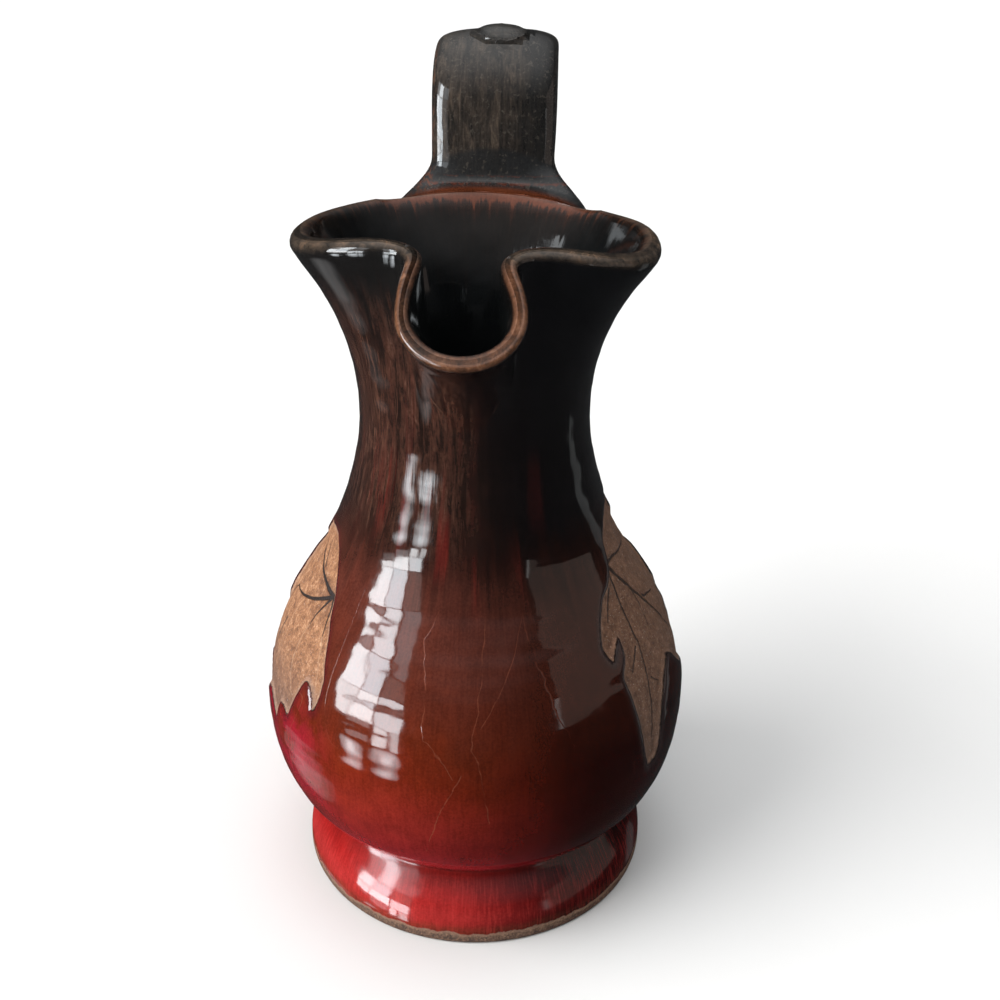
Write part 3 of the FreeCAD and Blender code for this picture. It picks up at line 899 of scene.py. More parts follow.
def glaze_material():
    mat = bpy.data.materials.new("glazed_stoneware")
    mat.use_nodes = True
    tree = mat.node_tree
    tree.nodes.clear()
    g = Nodes(tree)
    out = g.new("ShaderNodeOutputMaterial")
    bsdf = g.new("ShaderNodeBsdfPrincipled")
    tree.links.new(bsdf.outputs[0], out.inputs["Surface"])

    where = g.new("ShaderNodeTexCoord").outputs["Object"]
    pos = g.scaled(where, (1000.0, 1000.0, 1000.0))
    x, y, z = g.xyz(pos)
    flow = g.attr("flow", "Vector")
    pl, arc, pr = g.xyz(g.attr("pq", "Vector"))
    inner = g.attr("inner")
    lipd = g.attr("lipdist")
    strap = g.attr("strap")
    along = g.attr("along")
    leaf_l, leaf_r = g.attr("leaf_l"), g.attr("leaf_r")
    ang = g.math("MULTIPLY", g.math("ARCTAN2", x, g.mul(y, -1.0)), 57.29578)

    # Streaks that run down the wall, fine grain, and broad clouds.
    run_a = g.noise(g.scaled(flow, (0.34, 0.34, 0.030)), 1.0, 3.0, 0.55, 0.25)
    run_b = g.noise(g.scaled(flow, (0.80, 0.80, 0.065)), 1.0, 3.0, 0.6, 0.4)
    run_fine = g.noise(g.scaled(flow, (1.9, 1.9, 0.16)), 1.0, 2.0, 0.6, 0.2)
    mottle = g.noise(g.scaled(flow, (0.55, 0.55, 0.26)), 1.0, 3.0, 0.6, 0.6)
    cloud = g.noise(pos, 0.045, 2.0, 0.5, 0.3)
    cloud2 = g.noise(pos, 0.13, 3.0, 0.55, 0.3)
    grain = g.noise(pos, 1.6, 3.0, 0.6)

    # ---- outside glaze, by height, blurred up and down by the streaks
    lift = g.mul(g.sub(run_a, 0.5), g.smooth(z, 40.0, 118.0, 2.0, 22.0))
    lift = g.add(lift, g.mul(g.sub(run_b, 0.5), g.smooth(z, 60.0, 118.0, 0.0, 10.0)))
    lift = g.add(lift, g.mul(g.sub(cloud, 0.5), g.smooth(z, 26.0, 60.0, 0.0, 16.0)))
    h = g.add(z, lift)
    # Painted shade: warm on the left, where the light falls, painted darker on the right, away from it, and half way
    # between at the back.
    lower = g.mul(g.smooth(z, 40.0, 26.0), g.smooth(z, 5.0, 9.0))
    side = g.mul(g.smooth(g.mad(lower, -8.0, ang), -26.0, 38.0), g.smooth(ang, 179.9, 112.0, 0.5, 1.0))
    side = g.add(side, g.smooth(ang, -112.0, -179.9, 0.0, 0.5))
    warm = g.ramp(h, [
        (0.0, (0.38, 0.026, 0.023)), (9.0, (0.41, 0.029, 0.027)), (14.0, (0.35, 0.014, 0.013)),
        (18.0, (0.27, 0.012, 0.010)), (21.0, (0.245, 0.015, 0.013)), (24.0, (0.245, 0.017, 0.017)),
        (30.0, (0.285, 0.019, 0.026)), (36.0, (0.232, 0.015, 0.015)), (48.0, (0.235, 0.020, 0.012)),
        (60.0, (0.175, 0.018, 0.006)), (70.0, (0.128, 0.018, 0.006)), (80.0, (0.108, 0.020, 0.010)),
        (90.0, (0.105, 0.023, 0.013)), (98.0, (0.098, 0.025, 0.016)), (106.0, (0.060, 0.018, 0.012)),
        (113.0, (0.026, 0.0085, 0.006)), (122.0, (0.015, 0.0072, 0.0052)), (140.0, (0.011, 0.006, 0.005)),
        (160.0, (0.0095, 0.0062, 0.0055)), (182.0, (0.0105, 0.0100, 0.0098)), (190.0, (0.0105, 0.0100, 0.0098)),
    ])
    shaded_glaze = g.ramp(h, [
        (0.0, (0.060, 0.0035, 0.003)), (10.0, (0.045, 0.0012, 0.0010)), (16.0, (0.022, 0.0004, 0.0003)),
        (22.0, (0.015, 0.0004, 0.0003)), (32.0, (0.014, 0.0004, 0.0003)), (48.0, (0.014, 0.0006, 0.0003)),
        (62.0, (0.013, 0.0012, 0.0005)), (78.0, (0.026, 0.0055, 0.0028)), (98.0, (0.028, 0.0085, 0.0055)),
        (108.0, (0.011, 0.0035, 0.0025)), (120.0, (0.0042, 0.0031, 0.0033)), (190.0, (0.0040, 0.0042, 0.0050)),
    ])
    colour = g.mix(side, warm, shaded_glaze)

    # Brown and rusty streaks down the left of the neck.
    neck = g.mul(g.smooth(z, 104.0, 126.0), g.smooth(g.mad(g.sub(run_b, 0.5), 30.0, z), 182.0, 158.0))
    leftside = g.smooth(g.mad(g.sub(cloud2, 0.5), 24.0, ang), 13.0, -14.0)
    leftside = g.mul(leftside, g.smooth(ang, -179.9, -112.0, 0.5, 1.0))
    leftside = g.add(leftside, g.smooth(ang, 112.0, 179.9, 0.0, 0.5))
    curd = g.noise(g.scaled(flow, (0.50, 0.50, 0.13)), 1.0, 4.0, 0.68, 1.3)
    curd = g.add(g.mul(curd, 0.75), g.mul(run_b, 0.25))
    brown = g.ramp(curd, [(0.34, (0.012, 0.0075, 0.0062)), (0.45, (0.036, 0.0165, 0.0120)),
                          (0.54, (0.066, 0.028, 0.019)), (0.68, (0.135, 0.066, 0.045))])
    rosy = g.mul(g.smooth(run_a, 0.50, 0.66), g.smooth(z, 172.0, 120.0))
    brown = g.mix(g.mul(rosy, 0.55), brown, (0.085, 0.019, 0.014))
    brown_fac = g.mul(g.mul(neck, leftside), g.smooth(run_a, 0.28, 0.52))
    colour = g.mix(brown_fac, colour, brown)
    # Red runs where the two glazes meet.
    runs = None
    for a0, lo, hi, w, gain in ((-27.0, 108, 130, 3.2, 0.55), (-8.5, 104, 126, 2.6, 0.50), (-16.0, 112, 134, 1.6, 0.35),
                                (32.0, 114, 140, 5.0, 0.07), (21.0, 100, 120, 4.0, 0.10), (5.0, 96, 116, 2.0, 0.20), (-38.0, 112, 140, 2.2, 0.4)):
        drift = g.mad(g.sub(run_a, 0.5), 14.0, g.sub(ang, a0))
        m = g.mul(g.smooth(g.math("ABSOLUTE", drift), w, 0.0), g.mul(g.smooth(z, lo, lo + 9.0), g.smooth(z, hi, hi - 9.0)))
        m = g.mul(m, gain)
        runs = m if runs is None else g.math("MAXIMUM", runs, m)
    colour = g.mix(runs, colour, (0.17, 0.016, 0.012))
    # Crimson beside and below the left leaf.
    crimson = g.mul(g.mul(g.smooth(ang, -30.0, -48.0), g.smooth(z, 34.0, 46.0)), g.smooth(z, 76.0, 58.0))
    crimson = g.mul(g.mul(crimson, g.smooth(cloud2, 0.30, 0.55)), g.smooth(ang, -140.0, -96.0))
    colour = g.mix(g.mul(crimson, 0.75), colour, (0.33, 0.010, 0.030))

    # ---- inside glaze: black, rusty under the rim
    drip = g.mad(g.sub(run_a, 0.5), 7.0, g.mul(g.sub(run_b, 0.5), 10.0))
    back = g.smooth(g.math("ABSOLUTE", ang), 120.0, 160.0)
    depth = g.add(g.mul(g.sub(lipd, 1.0), g.mad(back, -0.5, 1.9)), g.mul(drip, g.mad(back, -0.35, 1.0)))
    rust_in = g.ramp(depth, [
        (-1.5, (0.060, 0.018, 0.009)), (0.5, (0.150, 0.044, 0.022)), (4.2, (0.115, 0.034, 0.017)),
        (5.2, (0.030, 0.013, 0.009)), (7.5, (0.011, 0.0080, 0.0066)), (15.0, (0.0045, 0.0052, 0.0056)),
    ])
    plain_in = g.ramp(g.add(depth, g.mul(g.sub(run_b, 0.5), 6.0)), [
        (-1.5, (0.040, 0.022, 0.015)), (1.0, (0.052, 0.022, 0.013)), (3.4, (0.018, 0.009, 0.006)),
        (6.0, (0.006, 0.0052, 0.005)), (12.0, (0.004, 0.0046, 0.0048)),
    ])
    inside = g.mix(back, plain_in, rust_in)
    colour = g.mix(inner, colour, inside)

    # ---- the lip, where the glaze has run thin
    lip = g.smooth(g.math("ABSOLUTE", lipd), 3.4, 0.6)
    lip = g.mul(lip, g.inv(strap))
    speck = g.noise(pos, 0.62, 4.0, 0.66, 0.8)
    lip_t = g.add(g.mul(cloud2, 0.45), g.mul(speck, 0.55))
    lip_c = g.ramp(lip_t, [
        (0.36, (0.018, 0.016, 0.014)), (0.46, (0.048, 0.036, 0.027)), (0.54, (0.084, 0.060, 0.043)),
        (0.66, (0.145, 0.090, 0.058))])
    copper = g.ramp(lip_t, [
        (0.36, (0.040, 0.026, 0.017)), (0.46, (0.105, 0.048, 0.027)), (0.54, (0.165, 0.070, 0.036)),
        (0.66, (0.27, 0.135, 0.078))])
    spout = g.smooth(y, -33.0, -40.0)
    lip_c = g.mix(spout, lip_c, copper)
    colour = g.mix(g.mul(lip, g.smooth(mottle, 0.25, 0.5, 0.75, 1.0)), colour, lip_c)

    # ---- the handle
    h_run = g.noise(g.scaled(flow, (0.33, 0.2, 0.095)), 1.0, 4.0, 0.62, 1.1)
    h_fine = g.noise(g.scaled(flow, (0.95, 0.4, 0.22)), 1.0, 3.0, 0.6, 1.2)
    h_mix = g.add(g.mul(h_run, 0.6), g.mul(h_fine, 0.4))
    handle = g.ramp(h_mix, [(0.38, (0.016, 0.0145, 0.0135)), (0.47, (0.027, 0.0225, 0.0195)),
                            (0.55, (0.047, 0.037, 0.030)), (0.68, (0.092, 0.069, 0.052))])
    # Painted sheen: the top of the handle is painted a paler grey, as where it mirrors the light overhead.
    handle = g.mix(g.mul(g.smooth(z, 216.0, 229.0), 0.6), handle, (0.036, 0.037, 0.036))
    # Painted shade: the right side of the handle, away from the light, is painted darker.
    handle = g.mix(g.smooth(x, 4.0, 13.0, 0.0, 0.85), handle, (0.014, 0.014, 0.014))
    slate = g.mul(g.smooth(y, 62.0, 54.0), g.smooth(g.add(z, g.mul(g.mul(x, x), 0.016)), 198.6, 196.6))
    handle = g.mix(g.mul(slate, 0.85), handle, (0.020, 0.021, 0.022))
    rusty_edge = g.mul(g.smooth(x, -15.2, -16.8), g.smooth(h_fine, 0.45, 0.58))
    handle = g.mix(g.mul(rusty_edge, 0.7), handle, (0.10, 0.034, 0.016))
    zl = g.add(z, g.mul(g.sub(mottle, 0.5), 1.6))
    lines = g.math("MAXIMUM", g.smooth(g.math("ABSOLUTE", g.sub(zl, 188.4)), 0.5, 0.1), g.mul(g.smooth(g.math("ABSOLUTE", g.sub(zl, 190.3)), 0.3, 0.05), 0.6))
    lines = g.mul(g.mul(lines, g.smooth(y, 62.0, 54.0)), g.smooth(mottle, 0.35, 0.6))
    handle = g.mix(g.mul(lines, 0.7), handle, (0.10, 0.026, 0.014))
    pale_flecks = g.smooth(g.noise(pos, 0.85, 3.0, 0.6, 0.6), 0.56, 0.70)
    handle = g.mix(g.mul(pale_flecks, 0.50), handle, (0.095, 0.082, 0.068))
    colour = g.mix(g.smooth(strap, 0.35, 0.65), colour, handle)
    # Rusty band where the handle grows out of the rim.
    band = g.mul(g.smooth(strap, 0.03, 0.30), g.smooth(strap, 0.95, 0.55))
    band = g.mul(band, g.mul(g.smooth(z, 176.0, 182.0), g.smooth(y, 47.0, 43.5)))
    colour = g.mix(band, colour, (0.16, 0.042, 0.017))

    # ---- crazing: long hairlines in the glaze of the belly
    drift_a = g.mul(g.sub(g.noise(pos, 0.16, 2.0, 0.5), 0.5), 3.0)
    hx = g.add(g.mul(ang, LEAF_K), drift_a)
    hy = g.add(arc, drift_a)
    cracks = None
    for a, b, bow in (((18.5, 69.1), (8.1, 48.7), -0.4), ((8.1, 48.7), (4.0, 16.9), 0.9), ((4.0, 16.9), (7.9, -7.6), 1.0),
                      ((21.4, 47.6), (6.5, 20.1), 0.8), ((-7.4, 49.0), (-11.6, 40.4), 0.5), ((1.7, 7.6), (-7.6, -19.4), -0.8),
                      ((-8.0, 16.0), (-0.4, 6.4), 0.4), ((21.4, 47.6), (30.0, 12.0), -1.0), ((-11.6, 40.4), (-8.0, 16.0), 0.8)):
        s = g.line(hx, hy, (a[0] * LEAF_K, a[1]), (b[0] * LEAF_K, b[1]), bow, 0.13, 0.08, 0.12)
        cracks = s if cracks is None else g.math("MAXIMUM", cracks, s)
    contour = g.noise(g.scaled(flow, (0.05, 0.05, 0.017)), 1.0, 1.0, 0.4, 0.8)
    round_back = g.smooth(g.math("ABSOLUTE", g.sub(ang, 5.0)), 34.0, 48.0)
    far_hair = g.mul(g.smooth(g.math("ABSOLUTE", g.sub(contour, 0.5)), 0.0022, 0.0006), round_back)
    hair = g.math("MAXIMUM", cracks, g.mul(far_hair, 0.7))
    hair = g.mul(hair, g.mul(g.smooth(z, 24.0, 32.0), g.smooth(z, 104.0, 92.0)))
    hair = g.mul(g.mul(hair, g.inv(inner)), g.smooth(cloud2, 0.30, 0.52))
    # The hairlines' colour is painted lighter on the left and darker on the right, as painted shade like the glaze
    # round them.
    colour = g.mix(g.mul(hair, 0.62), colour, g.mix(side, (0.26, 0.075, 0.040), (0.075, 0.016, 0.009)))

    # ---- bare clay in the leaf prints
    leaf = g.math("MINIMUM", leaf_l, leaf_r)
    ragged = g.mul(g.sub(g.noise(pos, 0.9, 3.0, 0.6), 0.5), 1.1)
    leaf_d = g.add(leaf, ragged)
    bare = g.smooth(leaf_d, 0.15, -0.25)
    sand = g.add(g.mul(grain, 0.5), g.mul(g.noise(pos, 0.42, 3.0, 0.6), 0.5))
    tan = g.ramp(sand, [(0.36, (0.150, 0.058, 0.024)), (0.48, (0.300, 0.128, 0.052)),
                        (0.57, (0.430, 0.205, 0.095)), (0.68, (0.66, 0.40, 0.24))])
    shaded_clay = g.ramp(sand, [(0.36, (0.085, 0.038, 0.020)), (0.50, (0.155, 0.073, 0.040)),
                          (0.60, (0.215, 0.105, 0.060)), (0.70, (0.33, 0.19, 0.12))])
    # Painted shade: the right leaf's clay, away from the light, is painted darker than the left leaf's.
    clay = g.mix(g.smooth(ang, -10.0, 10.0), tan, shaded_clay)
    # Painted shadow: the right leaf is painted darker towards its lower tip.
    dim = g.mul(g.smooth(arc, 44.0, 2.0), g.smooth(ang, -10.0, 10.0))
    clay = g.mix(g.mul(dim, 0.80), clay, g.mix(0.30, clay, (0.028, 0.015, 0.010), ))
    clay = g.mix(g.mul(g.smooth(arc, 26.0, 4.0), g.smooth(ang, 10.0, -10.0)), clay, g.mix(0.62, clay, (0.100, 0.050, 0.040)))
    spark = g.smooth(g.noise(pos, 2.6, 1.0, 0.5), 0.66, 0.74)
    clay = g.mix(g.mul(spark, 0.5), clay, (0.62, 0.50, 0.40))
    rimline = g.mul(g.smooth(leaf_d, -1.7, -0.5), g.smooth(leaf_d, 0.4, -0.2))
    clay = g.mix(g.mul(rimline, g.smooth(ang, 40.0, -40.0, 0.10, 0.40)), clay, (0.46, 0.30, 0.22))
    wob = g.mul(g.sub(g.noise(pos, 0.30, 2.0, 0.5), 0.5), 0.9)
    qx_l, qx_r, qy = g.add(pl, wob), g.add(pr, wob), g.add(arc, g.mul(wob, 0.8))
    ln, rn = LEFT_NODE, RIGHT_NODE
    left_veins = leaf_lines(g, qx_l, qy, ln, [
        (ln, (-83.0, 48.4), 1.2, 0.62, 0.14), (ln, (-84.0, 31.0), 1.3, 0.66, 0.14),
        (ln, (-57.6, 31.5), -0.8, 0.52, 0.12), (ln, (-49.0, 31.6), 0.3, 0.44, 0.10),
        ((-68.0, 45.3), (-76.0, 50.5), 0.3, 0.22, 0.10), ((-84.0, 31.0), (-96.0, 14.0), -0.6, 0.26, 0.12),
        ((-76.0, 24.0), (-77.5, 14.0), 0.5, 0.34, 0.16),
    ], 0.8, 0.2)
    right_veins = leaf_lines(g, qx_r, qy, rn, [
        (rn, (86.3, 22.1), 0.7, 0.62, 0.24), ((86.3, 22.1), (101.0, 2.0), 0.5, 0.24, 0.12),
        (rn, (62.4, 28.0), -0.8, 0.50, 0.24), ((62.4, 28.0), (58.4, 1.0), -0.5, 0.24, 0.14),
        (rn, (76.9, 50.1), 0.5, 0.50, 0.26), ((76.9, 50.1), (104.0, 48.5), -0.4, 0.26, 0.14),
        ((61.1, 45.0), (53.3, 37.6), -0.5, 0.30, 0.14), ((60.6, 28.0), (55.0, 22.6), -0.2, 0.28, 0.12),
        ((78.7, 35.5), (90.0, 31.8), -0.4, 0.30, 0.14), ((62.0, 18.0), (65.6, 15.0), 0.0, 0.22, 0.10),
        ((74.0, 40.4), (72.0, 29.0), 0.3, 0.26, 0.12), ((84.0, 50.0), (92.0, 57.0), 0.3, 0.26, 0.12),
    ], 0.5, 0.2)
    pale_veins = leaf_lines(g, qx_l, qy, ln, [
        ((-57.6, 31.5), (-53.8, 12.0), -2.6, 0.30, 0.16), ((-71.5, 30.0), (-69.8, 14.0), 0.3, 0.26, 0.14),
        ((-49.0, 31.6), (-44.0, 20.0), 0.5, 0.24, 0.14),
    ], 0.3, 0.15)
    on_l, on_r = g.smooth(leaf_l, 0.3, -0.3), g.smooth(leaf_r, 0.3, -0.3)
    vein_l = g.mul(left_veins, on_l)
    vein_r = g.mul(right_veins, on_r)
    clay = g.mix(g.mul(g.mul(pale_veins, on_l), 0.45), clay, (0.50, 0.30, 0.18))
    stain = leaf_lines(g, qx_l, qy, ln, [(ln, (-70.0, 45.8), 0.7, 2.0, 0.2), (ln, (-66.0, 38.0), -0.4, 2.0, 0.2),
                                         (ln, (-53.5, 33.0), -0.2, 1.8, 0.2)], 1.6, 0.3, 1.2)
    clay = g.mix(g.mul(g.mul(stain, on_l), 0.40), clay, (0.070, 0.024, 0.016))
    clay = g.mix(g.mul(vein_l, 0.95), clay, (0.0095, 0.0055, 0.0065))
    clay = g.mix(g.mul(vein_r, 0.85), clay, (0.014, 0.0085, 0.0070))
    colour = g.mix(bare, colour, clay)
    # The glaze is thick where it stops at a leaf.
    brink = g.mul(g.smooth(leaf_d, 2.6, 0.5), g.smooth(leaf_d, -0.1, 0.3))
    colour = g.mix(g.mul(brink, 0.55), colour, g.mix(side, (0.075, 0.008, 0.012), (0.030, 0.027, 0.027)))

    # ---- bare clay at the bottom of the foot
    brim = g.add(z, g.mul(g.sub(g.noise(pos, 0.22, 3.0, 0.6), 0.5), 3.2))
    foot_bare = g.mul(g.smooth(brim, 3.9, 3.3), g.inv(inner))
    foot_clay = g.ramp(g.add(g.mul(grain, 0.6), g.mul(sand, 0.4)), [
        (0.36, (0.050, 0.026, 0.016)), (0.50, (0.135, 0.066, 0.038)), (0.64, (0.30, 0.17, 0.10))])
    foot_clay = g.mix(g.mul(g.smooth(brim, 2.2, 3.2), 0.55), foot_clay, (0.36, 0.21, 0.13))
    colour = g.mix(foot_bare, colour, foot_clay)
    # Thin glaze near the bottom of the foot, its colour painted lighter on the left and darker on the right as painted
    # shade.
    thin = g.mul(g.smooth(brim, 7.0, 4.4), g.inv(foot_bare))
    colour = g.mix(g.mul(thin, 0.6), colour, g.mix(side, (0.15, 0.034, 0.018), (0.060, 0.017, 0.010)))
    # A vertical grain in the foot's red.
    foot_grain = g.mul(g.mul(g.smooth(z, 20.0, 16.0), g.inv(foot_bare)), g.smooth(run_fine, 0.45, 0.7))
    colour = g.mix(g.mul(foot_grain, 0.16), colour, (0.50, 0.045, 0.040))
    # Painted shade: a dark line in the crease where the foot meets the body.
    crease_shade = g.smooth(g.math("ABSOLUTE", g.sub(z, 20.8)), 1.1, 0.2)
    crease_shade = g.mul(g.mul(crease_shade, g.inv(inner)), g.inv(strap))
    colour = g.mix(g.mul(crease_shade, 0.6), colour, (0.045, 0.004, 0.004))

    # Fine unevenness in the depth of the glaze.
    uneven = g.add(g.mul(g.sub(grain, 0.5), 1.1), g.mul(g.sub(run_fine, 0.5), g.smooth(z, 24.0, 30.0, 0.9, 0.7)))
    uneven = g.add(uneven, g.mul(g.sub(cloud2, 0.5), 0.9))
    shade = g.smooth(uneven, -0.45, 0.45, 0.74, 1.30)
    shaded = g.vec("SCALE", colour, scale=shade)
    colour = g.mix(g.inv(g.math("MAXIMUM", bare, foot_bare)), colour, shaded)

    dull = g.math("MAXIMUM", bare, foot_bare)
    glazed_vein = g.mul(g.math("MAXIMUM", vein_l, vein_r), 0.5)

    # ---- roughness
    rough_glaze = g.mad(g.smooth(mottle, 0.35, 0.75), 0.05, 0.055)
    rough_glaze = g.add(rough_glaze, g.mul(lip, 0.06))
    satin = g.mul(g.mul(g.smooth(z, 9.5, 13.5), g.smooth(z, 22.5, 20.5)), g.inv(inner))
    satin = g.top(satin, g.mul(g.mul(g.smooth(z, 22.0, 20.0), g.mul(g.smooth(ang, 0.0, 20.0), g.smooth(ang, 178.0, 120.0))), g.inv(inner)))
    rough_glaze = g.mad(satin, 0.06, rough_glaze)
    rough_clay = g.mad(g.sub(grain, 0.5), 0.3, 0.78)
    rough_clay = g.sub(rough_clay, g.mul(glazed_vein, 0.5))
    rough = g.add(g.mul(rough_glaze, g.inv(dull)), g.mul(rough_clay, dull))

    # ---- relief, in millimetres
    ripple = g.mul(g.sub(g.noise(pos, 0.060, 1.5, 0.45), 0.5), 0.62)
    ripple = g.mul(ripple, g.smooth(z, 60.0, 76.0, 0.35, 1.0))
    ripple = g.add(ripple, g.mul(g.sub(g.noise(pos, 0.22, 1.0, 0.4), 0.5), 0.050))
    orange = g.mul(g.sub(grain, 0.5), 0.002)
    ridge = g.mul(g.sub(run_a, 0.5), g.smooth(z, 100.0, 140.0, 0.01, 0.06))
    smooth_h = g.add(g.add(ripple, orange), ridge)
    smooth_h = g.sub(smooth_h, g.mul(hair, 0.02))
    # The shoulder turns into the neck a little more sharply than the thrown form.
    turn = g.add(g.smooth(z, 108.0, 129.0, 0.0, 3.6), g.smooth(z, 116.0, 166.0, 0.0, 5.6))
    smooth_h = g.add(smooth_h, g.mul(turn, g.mul(g.inv(inner), g.inv(strap))))
    up_foot = g.mad(g.math("MINIMUM", g.math("MAXIMUM", z, 4.5), 20.5), -0.26, 1.17)
    smooth_h = g.add(smooth_h, g.mul(up_foot, g.inv(inner)))
    clay_h = g.add(g.mul(g.sub(grain, 0.5), 0.34), g.mul(g.sub(g.noise(pos, 3.4, 2.0, 0.6), 0.5), 0.16))
    clay_h = g.sub(clay_h, g.mul(g.math("MAXIMUM", vein_l, vein_r), 0.45))
    clay_h = g.add(clay_h, g.mul(g.mul(pale_veins, on_l), 0.12))
    height = g.add(g.mul(smooth_h, g.inv(dull)), g.mul(clay_h, dull))
    height = g.sub(height, g.mul(bare, 0.25))
    bump = g.new("ShaderNodeBump")
    bump.inputs["Strength"].default_value = 1.0
    bump.inputs["Distance"].default_value = 0.001
    g.plug(bump.inputs["Height"], height)

    g.plug(bsdf.inputs["Base Color"], colour)
    g.plug(bsdf.inputs["Roughness"], rough)
    g.plug(bsdf.inputs["Normal"], bump.outputs[0])
    bsdf.inputs["Metallic"].default_value = 0.0
    bsdf.inputs["IOR"].default_value = 1.52
    return mat


pitcher_mesh.materials.clear()
pitcher_mesh.materials.append(glaze_material())
for p in pitcher_mesh.polygons:
    p.material_index = 0


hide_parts("pitcher")
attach(pitcher, "root")

# =====================================================================
# Floor, light and sky
# =====================================================================
def stage_floor():
    me = bpy.data.meshes.new("floor")
    s = 14.0
    me.from_pydata([(-s, -s, 0), (s, -s, 0), (s, s, 0), (-s, s, 0)], [], [(0, 1, 2, 3)])
    floor = bpy.data.objects.new("floor", me)
    bpy.context.scene.collection.objects.link(floor)
    mat = bpy.data.materials.new("floor")
    mat.use_nodes = True
    g = Nodes(mat.node_tree)
    b = mat.node_tree.nodes["Principled BSDF"]
    here = g.scaled(g.new("ShaderNodeTexCoord").outputs["Object"], (1.0, 1.0, 1.0))
    tone = g.ramp(g.noise(here, 3.0, 3.0, 0.5), [(0.2, (0.78, 0.78, 0.775)), (0.8, (0.82, 0.82, 0.815))])
    g.plug(b.inputs["Base Color"], tone)
    b.inputs["Roughness"].default_value = 0.9
    me.materials.append(mat)
    floor.visible_glossy = False
    floor.visible_shadow = False


def wall_panel(name, az_lo, az_hi, el_lo, el_hi, radiance, colour=(1.0, 1.0, 1.0), shape="RECTANGLE", far=2.4, diffuse=False):
    """An upright soft light that fills the given directions, seen from the pitcher."""
    data = bpy.data.lights.new(name, "AREA")
    data.shape = shape
    width = 2 * far * math.tan(math.radians(az_hi - az_lo) / 2)
    low, high = far * math.tan(math.radians(el_lo)), far * math.tan(math.radians(el_hi))
    data.size, data.size_y = width, high - low
    data.energy = radiance * math.pi * width * (high - low) * (math.pi / 4 if shape == "ELLIPSE" else 1.0)
    data.color = colour
    lamp = bpy.data.objects.new(name, data)
    bpy.context.scene.collection.objects.link(lamp)
    a = math.radians((az_lo + az_hi) / 2)
    away = Vector((math.sin(a), -math.cos(a), 0.0))
    lamp.location = away * far + Vector((0, 0, 0.10 + (low + high) / 2))
    lamp.rotation_mode = "QUATERNION"
    lamp.rotation_quaternion = (-away).to_track_quat("-Z", "Y")
    lamp.visible_camera = False
    lamp.visible_diffuse = diffuse
    return lamp


def soft_sun(name, az, el, energy, angle, colour=(1.0, 1.0, 1.0)):
    data = bpy.data.lights.new(name, "SUN")
    data.energy, data.angle, data.color = energy, math.radians(angle), colour
    lamp = bpy.data.objects.new(name, data)
    bpy.context.scene.collection.objects.link(lamp)
    a, e = math.radians(az), math.radians(el)
    d = Vector((math.sin(a) * math.cos(e), -math.cos(a) * math.cos(e), math.sin(e)))
    lamp.rotation_mode = "QUATERNION"
    lamp.rotation_quaternion = (-d).to_track_quat("-Z", "Y")
    lamp.visible_glossy = False
    return lamp


def lights():
    # The key comes from the left, like daylight from a window, and a wide
    # light overhead keeps the floor pale.
    soft_sun("key", -66.0, 34.0, 3.3, 50.0, (1.0, 0.985, 0.97))
    soft_sun("overhead", 0.0, 90.0, 1.3, 60.0)
    # What the glaze mirrors: a window of several panes on the left ...
    for k, row in enumerate(WINDOW_PANES):
        wall_panel("pane_%d" % k, *row)
    # ... and a dim pale wall on the right.
    for k, row in enumerate(DIM_WALL):
        wall_panel("dim_%d" % k, *row)

    for k, (az, wide) in enumerate(LOW_GLOW):
        for j, share in enumerate((1.0, 0.86, 0.72, 0.58, 0.44, 0.30)):
            wall_panel("glow_%d_%d" % (k, j), az - wide * share / 2, az + wide * share / 2,
                       -19.5 - 10.0 * share, -19.5 + 8.5 * share, 2.0, (0.90, 0.96, 1.0), "ELLIPSE",
                       2.46 + 0.03 * j)
    for k, panel in enumerate(PALE):
        wall_panel("pale_%d" % k, *panel)

    world = bpy.data.worlds.new("studio")
    bpy.context.scene.world = world
    world.use_nodes = True
    # Dim round the sides and paler overhead, as under a high ceiling.
    g = Nodes(world.node_tree)
    up = g.xyz(g.new("ShaderNodeTexCoord").outputs["Generated"])[2]
    shade = g.ramp(up, [(0.0, (0.030, 0.031, 0.032)), (0.42, (0.040, 0.041, 0.042)), (0.72, (0.33, 0.34, 0.35)), (0.93, (0.84, 0.85, 0.86)),
                       (1.0, (1.02, 1.03, 1.04))])
    back = world.node_tree.nodes["Background"]
    # Beyond the edge of the floor there is a plain pale backdrop.
    seen = g.new("ShaderNodeLightPath").outputs["Is Camera Ray"]
    g.plug(back.inputs[0], g.mix(seen, shade, (1.0, 1.0, 1.0)))
    back.inputs[1].default_value = 1.0


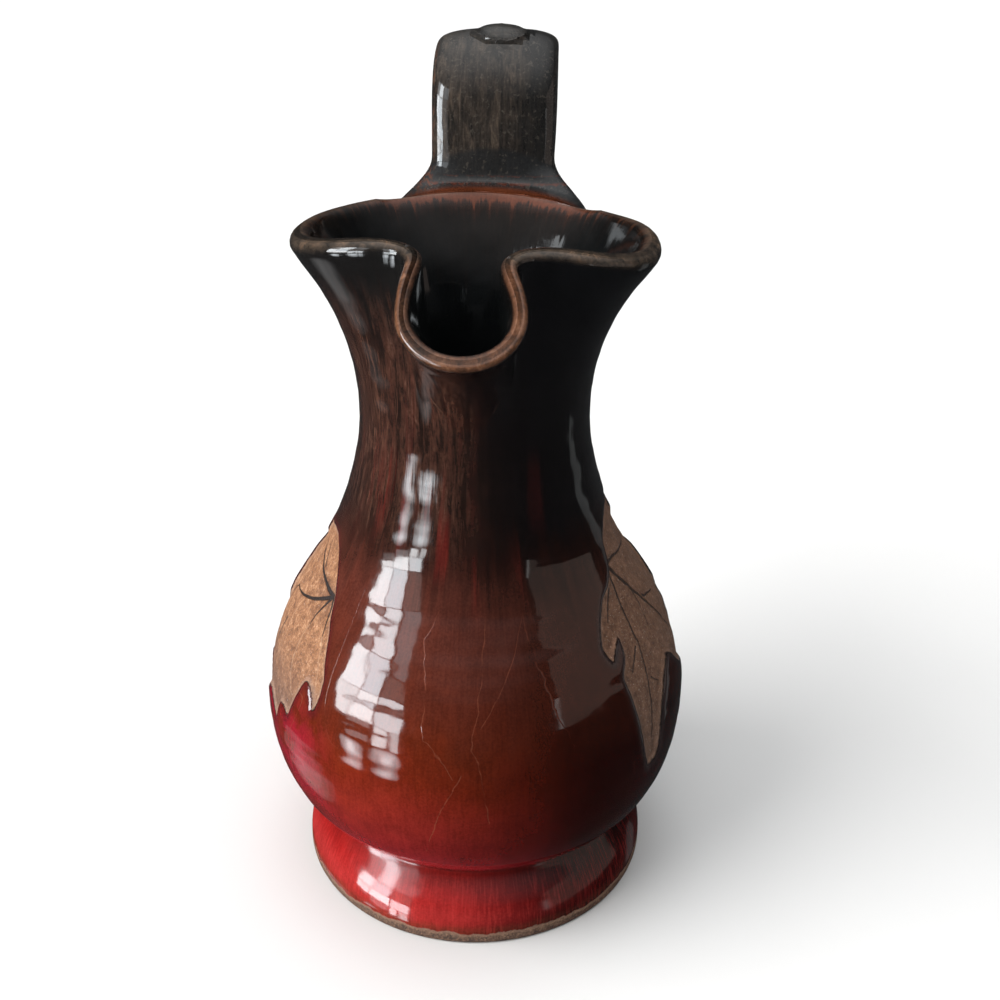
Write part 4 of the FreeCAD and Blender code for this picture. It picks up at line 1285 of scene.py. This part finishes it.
# azimuth from, to, elevation from, to, radiance, colour
WINDOW_PANES = [
    (-70.5, -61.0, -4.5, -2.0, 1.4, (0.95, 0.98, 1.0)), (-59.5, -48.0, -7.5, -2.0, 2.6, (0.95, 0.98, 1.0)),
    (-46.0, -40.5, -9.5, -2.0, 13.0, (0.95, 0.98, 1.0)), (-39.0, -34.0, -11.0, -2.0, 9.0, (0.95, 0.98, 1.0)),
    (-70.5, -61.0, -1.5, 8.0, 15.0, (0.95, 0.98, 1.0)), (-60.6, -47.0, -1.5, 8.0, 18.0, (0.95, 0.98, 1.0)),
    (-46.0, -34.0, -1.5, 8.0, 13.0, (0.90, 0.96, 1.0)),
    (-70.5, -60.5, 8.6, 22.0, 18.0, (0.92, 0.97, 1.0)), (-60.0, -48.0, 8.6, 22.0, 14.0, (0.86, 0.94, 1.0)),
    (-46.5, -34.0, 9.5, 22.0, 1.3, (1.0, 0.92, 0.88)),
    (-70.5, -62.0, 23.0, 38.0, 3.5, (0.92, 0.97, 1.0)), (-60.6, -48.5, 23.0, 38.0, 15.0, (0.90, 0.96, 1.0)),
    (-46.5, -34.0, 23.0, 38.0, 2.2, (0.90, 0.96, 1.0)),
]
# The same window again, faint and low, as a table top passes it on; and two
# pale surfaces, one low on the left and one behind on the right.
LOW_GLOW = [(-58.5, 15.0), (-40.5, 15.0)]
PALE = [
    (-128.0, -84.0, -52.0, -34.0, 0.20, (1.0, 1.0, 1.0), "ELLIPSE", 2.70),
    (-122.0, -89.0, -50.0, -36.0, 0.20, (1.0, 1.0, 1.0), "ELLIPSE", 2.74),
    (-116.0, -95.0, -47.5, -38.5, 0.25, (1.0, 1.0, 1.0), "ELLIPSE", 2.78),
    (114.0, 127.0, -32.0, 0.0, 0.22, (0.96, 1.0, 1.0), "ELLIPSE", 2.7),
]
DIM_WALL = [
    (49.0, 104.0, 2.0, 30.0, 0.42, (1.0, 0.80, 0.70)),
    (46.8, 49.0, 2.0, 16.0, 1.6, (1.0, 0.97, 0.95)),
]
stage_floor()
lights()
bpy.context.scene.view_settings.view_transform = "Standard"
bpy.context.scene.view_settings.look = "None"
bpy.context.scene.view_settings.exposure = 0.0
bpy.context.scene.view_settings.gamma = 1.0
